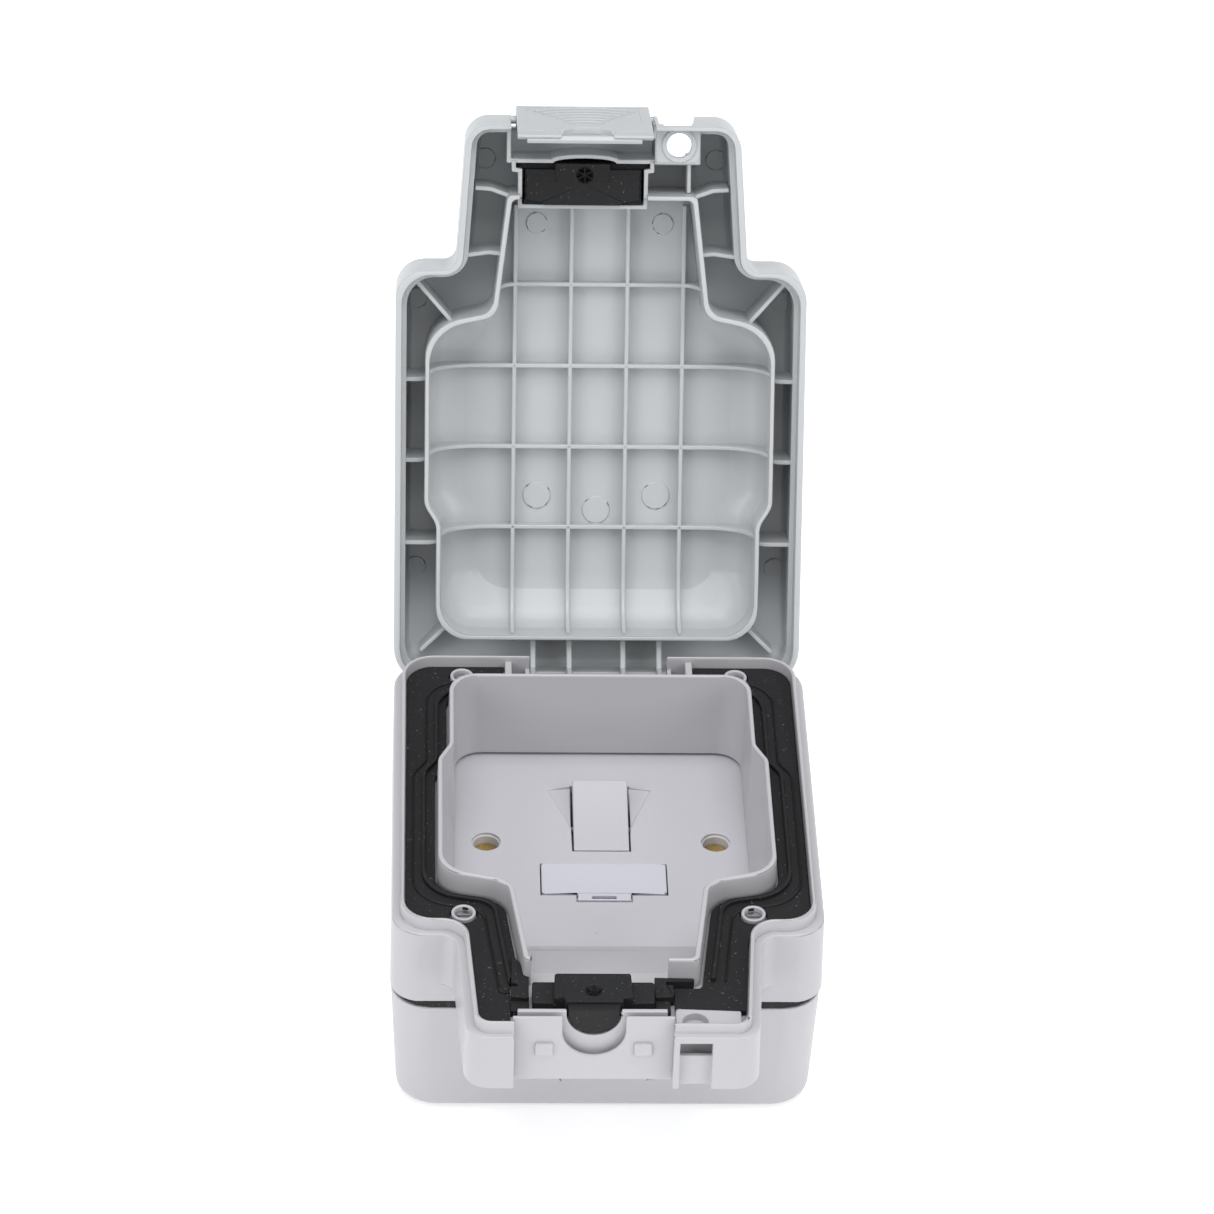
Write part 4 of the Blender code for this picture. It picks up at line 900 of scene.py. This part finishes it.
finishes = {
    "base_plastic": new_finish("base_plastic", (0.462, 0.456, 0.474), 0.36, grain=0.35),
    "lid_plastic": new_finish("lid_plastic", (0.475, 0.490, 0.500), 0.34, grain=0.3),
    "plate_plastic": new_finish("plate_plastic", (0.530, 0.520, 0.550), 0.30, grain=0.2),
    "carrier_plastic": new_finish("carrier_plastic", (0.580, 0.580, 0.640), 0.3, grain=0.2),
    "module_plastic": new_finish("module_plastic", (0.45, 0.45, 0.46), 0.45, grain=0.4),
    "rubber": new_finish("rubber", (0.011, 0.011, 0.012), 0.62, grain=0.8, grain_scale=1400, spread=0.1,
                         tint=0.2, specks=0.4, shine=0.3),
    "brass": new_finish("brass", (0.72, 0.52, 0.20), 0.28, 1.0, grain=0.4, grain_scale=2500, spread=0.1,
                        tint=0.08),
    "steel": new_finish("steel", (0.58, 0.58, 0.60), 0.3, 1.0, grain=0.4, grain_scale=2500, spread=0.1,
                        tint=0.05),
    "ceramic": new_finish("ceramic", (0.72, 0.70, 0.64), 0.45, grain=0.5, grain_scale=1600, tint=0.05),
}


# ---------------------------------------------------------------- stage

def area_light(name, place_at, aim, size, power):
    """Square area light at a place, aimed at a point."""
    light = bpy.data.lights.new(name, "AREA")
    light.shape = "SQUARE"
    light.size = size
    light.energy = power
    obj = bpy.data.objects.new(name, light)
    obj.location = place_at
    obj.rotation_euler = (Vector(aim) - Vector(place_at)).to_track_quat("-Z", "Y").to_euler()
    bpy.context.scene.collection.objects.link(obj)


def studio():
    """Pale surroundings with a soft light above and one on each side."""
    scene = bpy.context.scene
    scene.view_settings.view_transform = "Standard"
    world = bpy.data.worlds.new("studio")
    world.use_nodes = True
    around = world.node_tree.nodes["Background"].inputs
    around["Color"].default_value = WORLD_COLOUR
    around["Strength"].default_value = WORLD_STRENGTH
    scene.world = world
    area_light("top", (0.0, -0.2, 1.5), (0, 0, 0), 1.2, 13.4)
    area_light("left", (-1.3, -1.0, 0.9), (0, 0, 0.08), 0.9, 8.0)
    area_light("right", (1.3, -1.0, 0.9), (0, 0, 0.08), 0.9, 8.0)


def pale_floor():
    """Plain floor that glows a little, so that it stays as pale as the photo's background."""
    floor = bpy.data.meshes.new("floor")
    bm = bmesh.new()
    bmesh.ops.create_grid(bm, x_segments=1, y_segments=1, size=6)
    bm.to_mesh(floor)
    bm.free()
    ground = bpy.data.objects.new("floor", floor)
    bpy.context.scene.collection.objects.link(ground)
    pale = bpy.data.materials.new("floor")
    pale.use_nodes = True
    shader = pale.node_tree.nodes["Principled BSDF"].inputs
    shader["Base Color"].default_value = FLOOR_COLOUR
    shader["Roughness"].default_value = 0.9
    shader["Emission Color"].default_value = (1, 1, 1, 1)
    shader["Emission Strength"].default_value = FLOOR_GLOW
    floor.materials.append(pale)


def camera():
    """Camera that repeats the photo's view."""
    lens = bpy.data.cameras.new("camera")
    lens.sensor_width = 36
    lens.lens = CAMERA_LENS
    lens.clip_end = 20
    obj = bpy.data.objects.new("camera", lens)
    ahead = CAMERA_AHEAD.normalized()
    right = ahead.cross(CAMERA_UP).normalized()
    turn = Matrix((right, right.cross(ahead), -ahead)).transposed()
    obj.matrix_world = Matrix.Translation(CAMERA_AT * MM) @ turn.to_4x4()
    bpy.context.scene.collection.objects.link(obj)
    bpy.context.scene.camera = obj


# ---------------------------------------------------------------- build

slot_of = {part["node"]: part["material_slot"] for part in frame["record"]["subparts"]}
for name, node in frame["nodes"].items():
    node.data.materials.clear()
    node.data.materials.append(finishes[slot_of[name]])

front_frame()
back_box()
face_gasket()
cable_seal()
seal_ends()
accessory_plate()
rocker()
fuse_carrier()
lid_shell()
lid_seal_block()
latch_clip()
studio()
pale_floor()
camera()
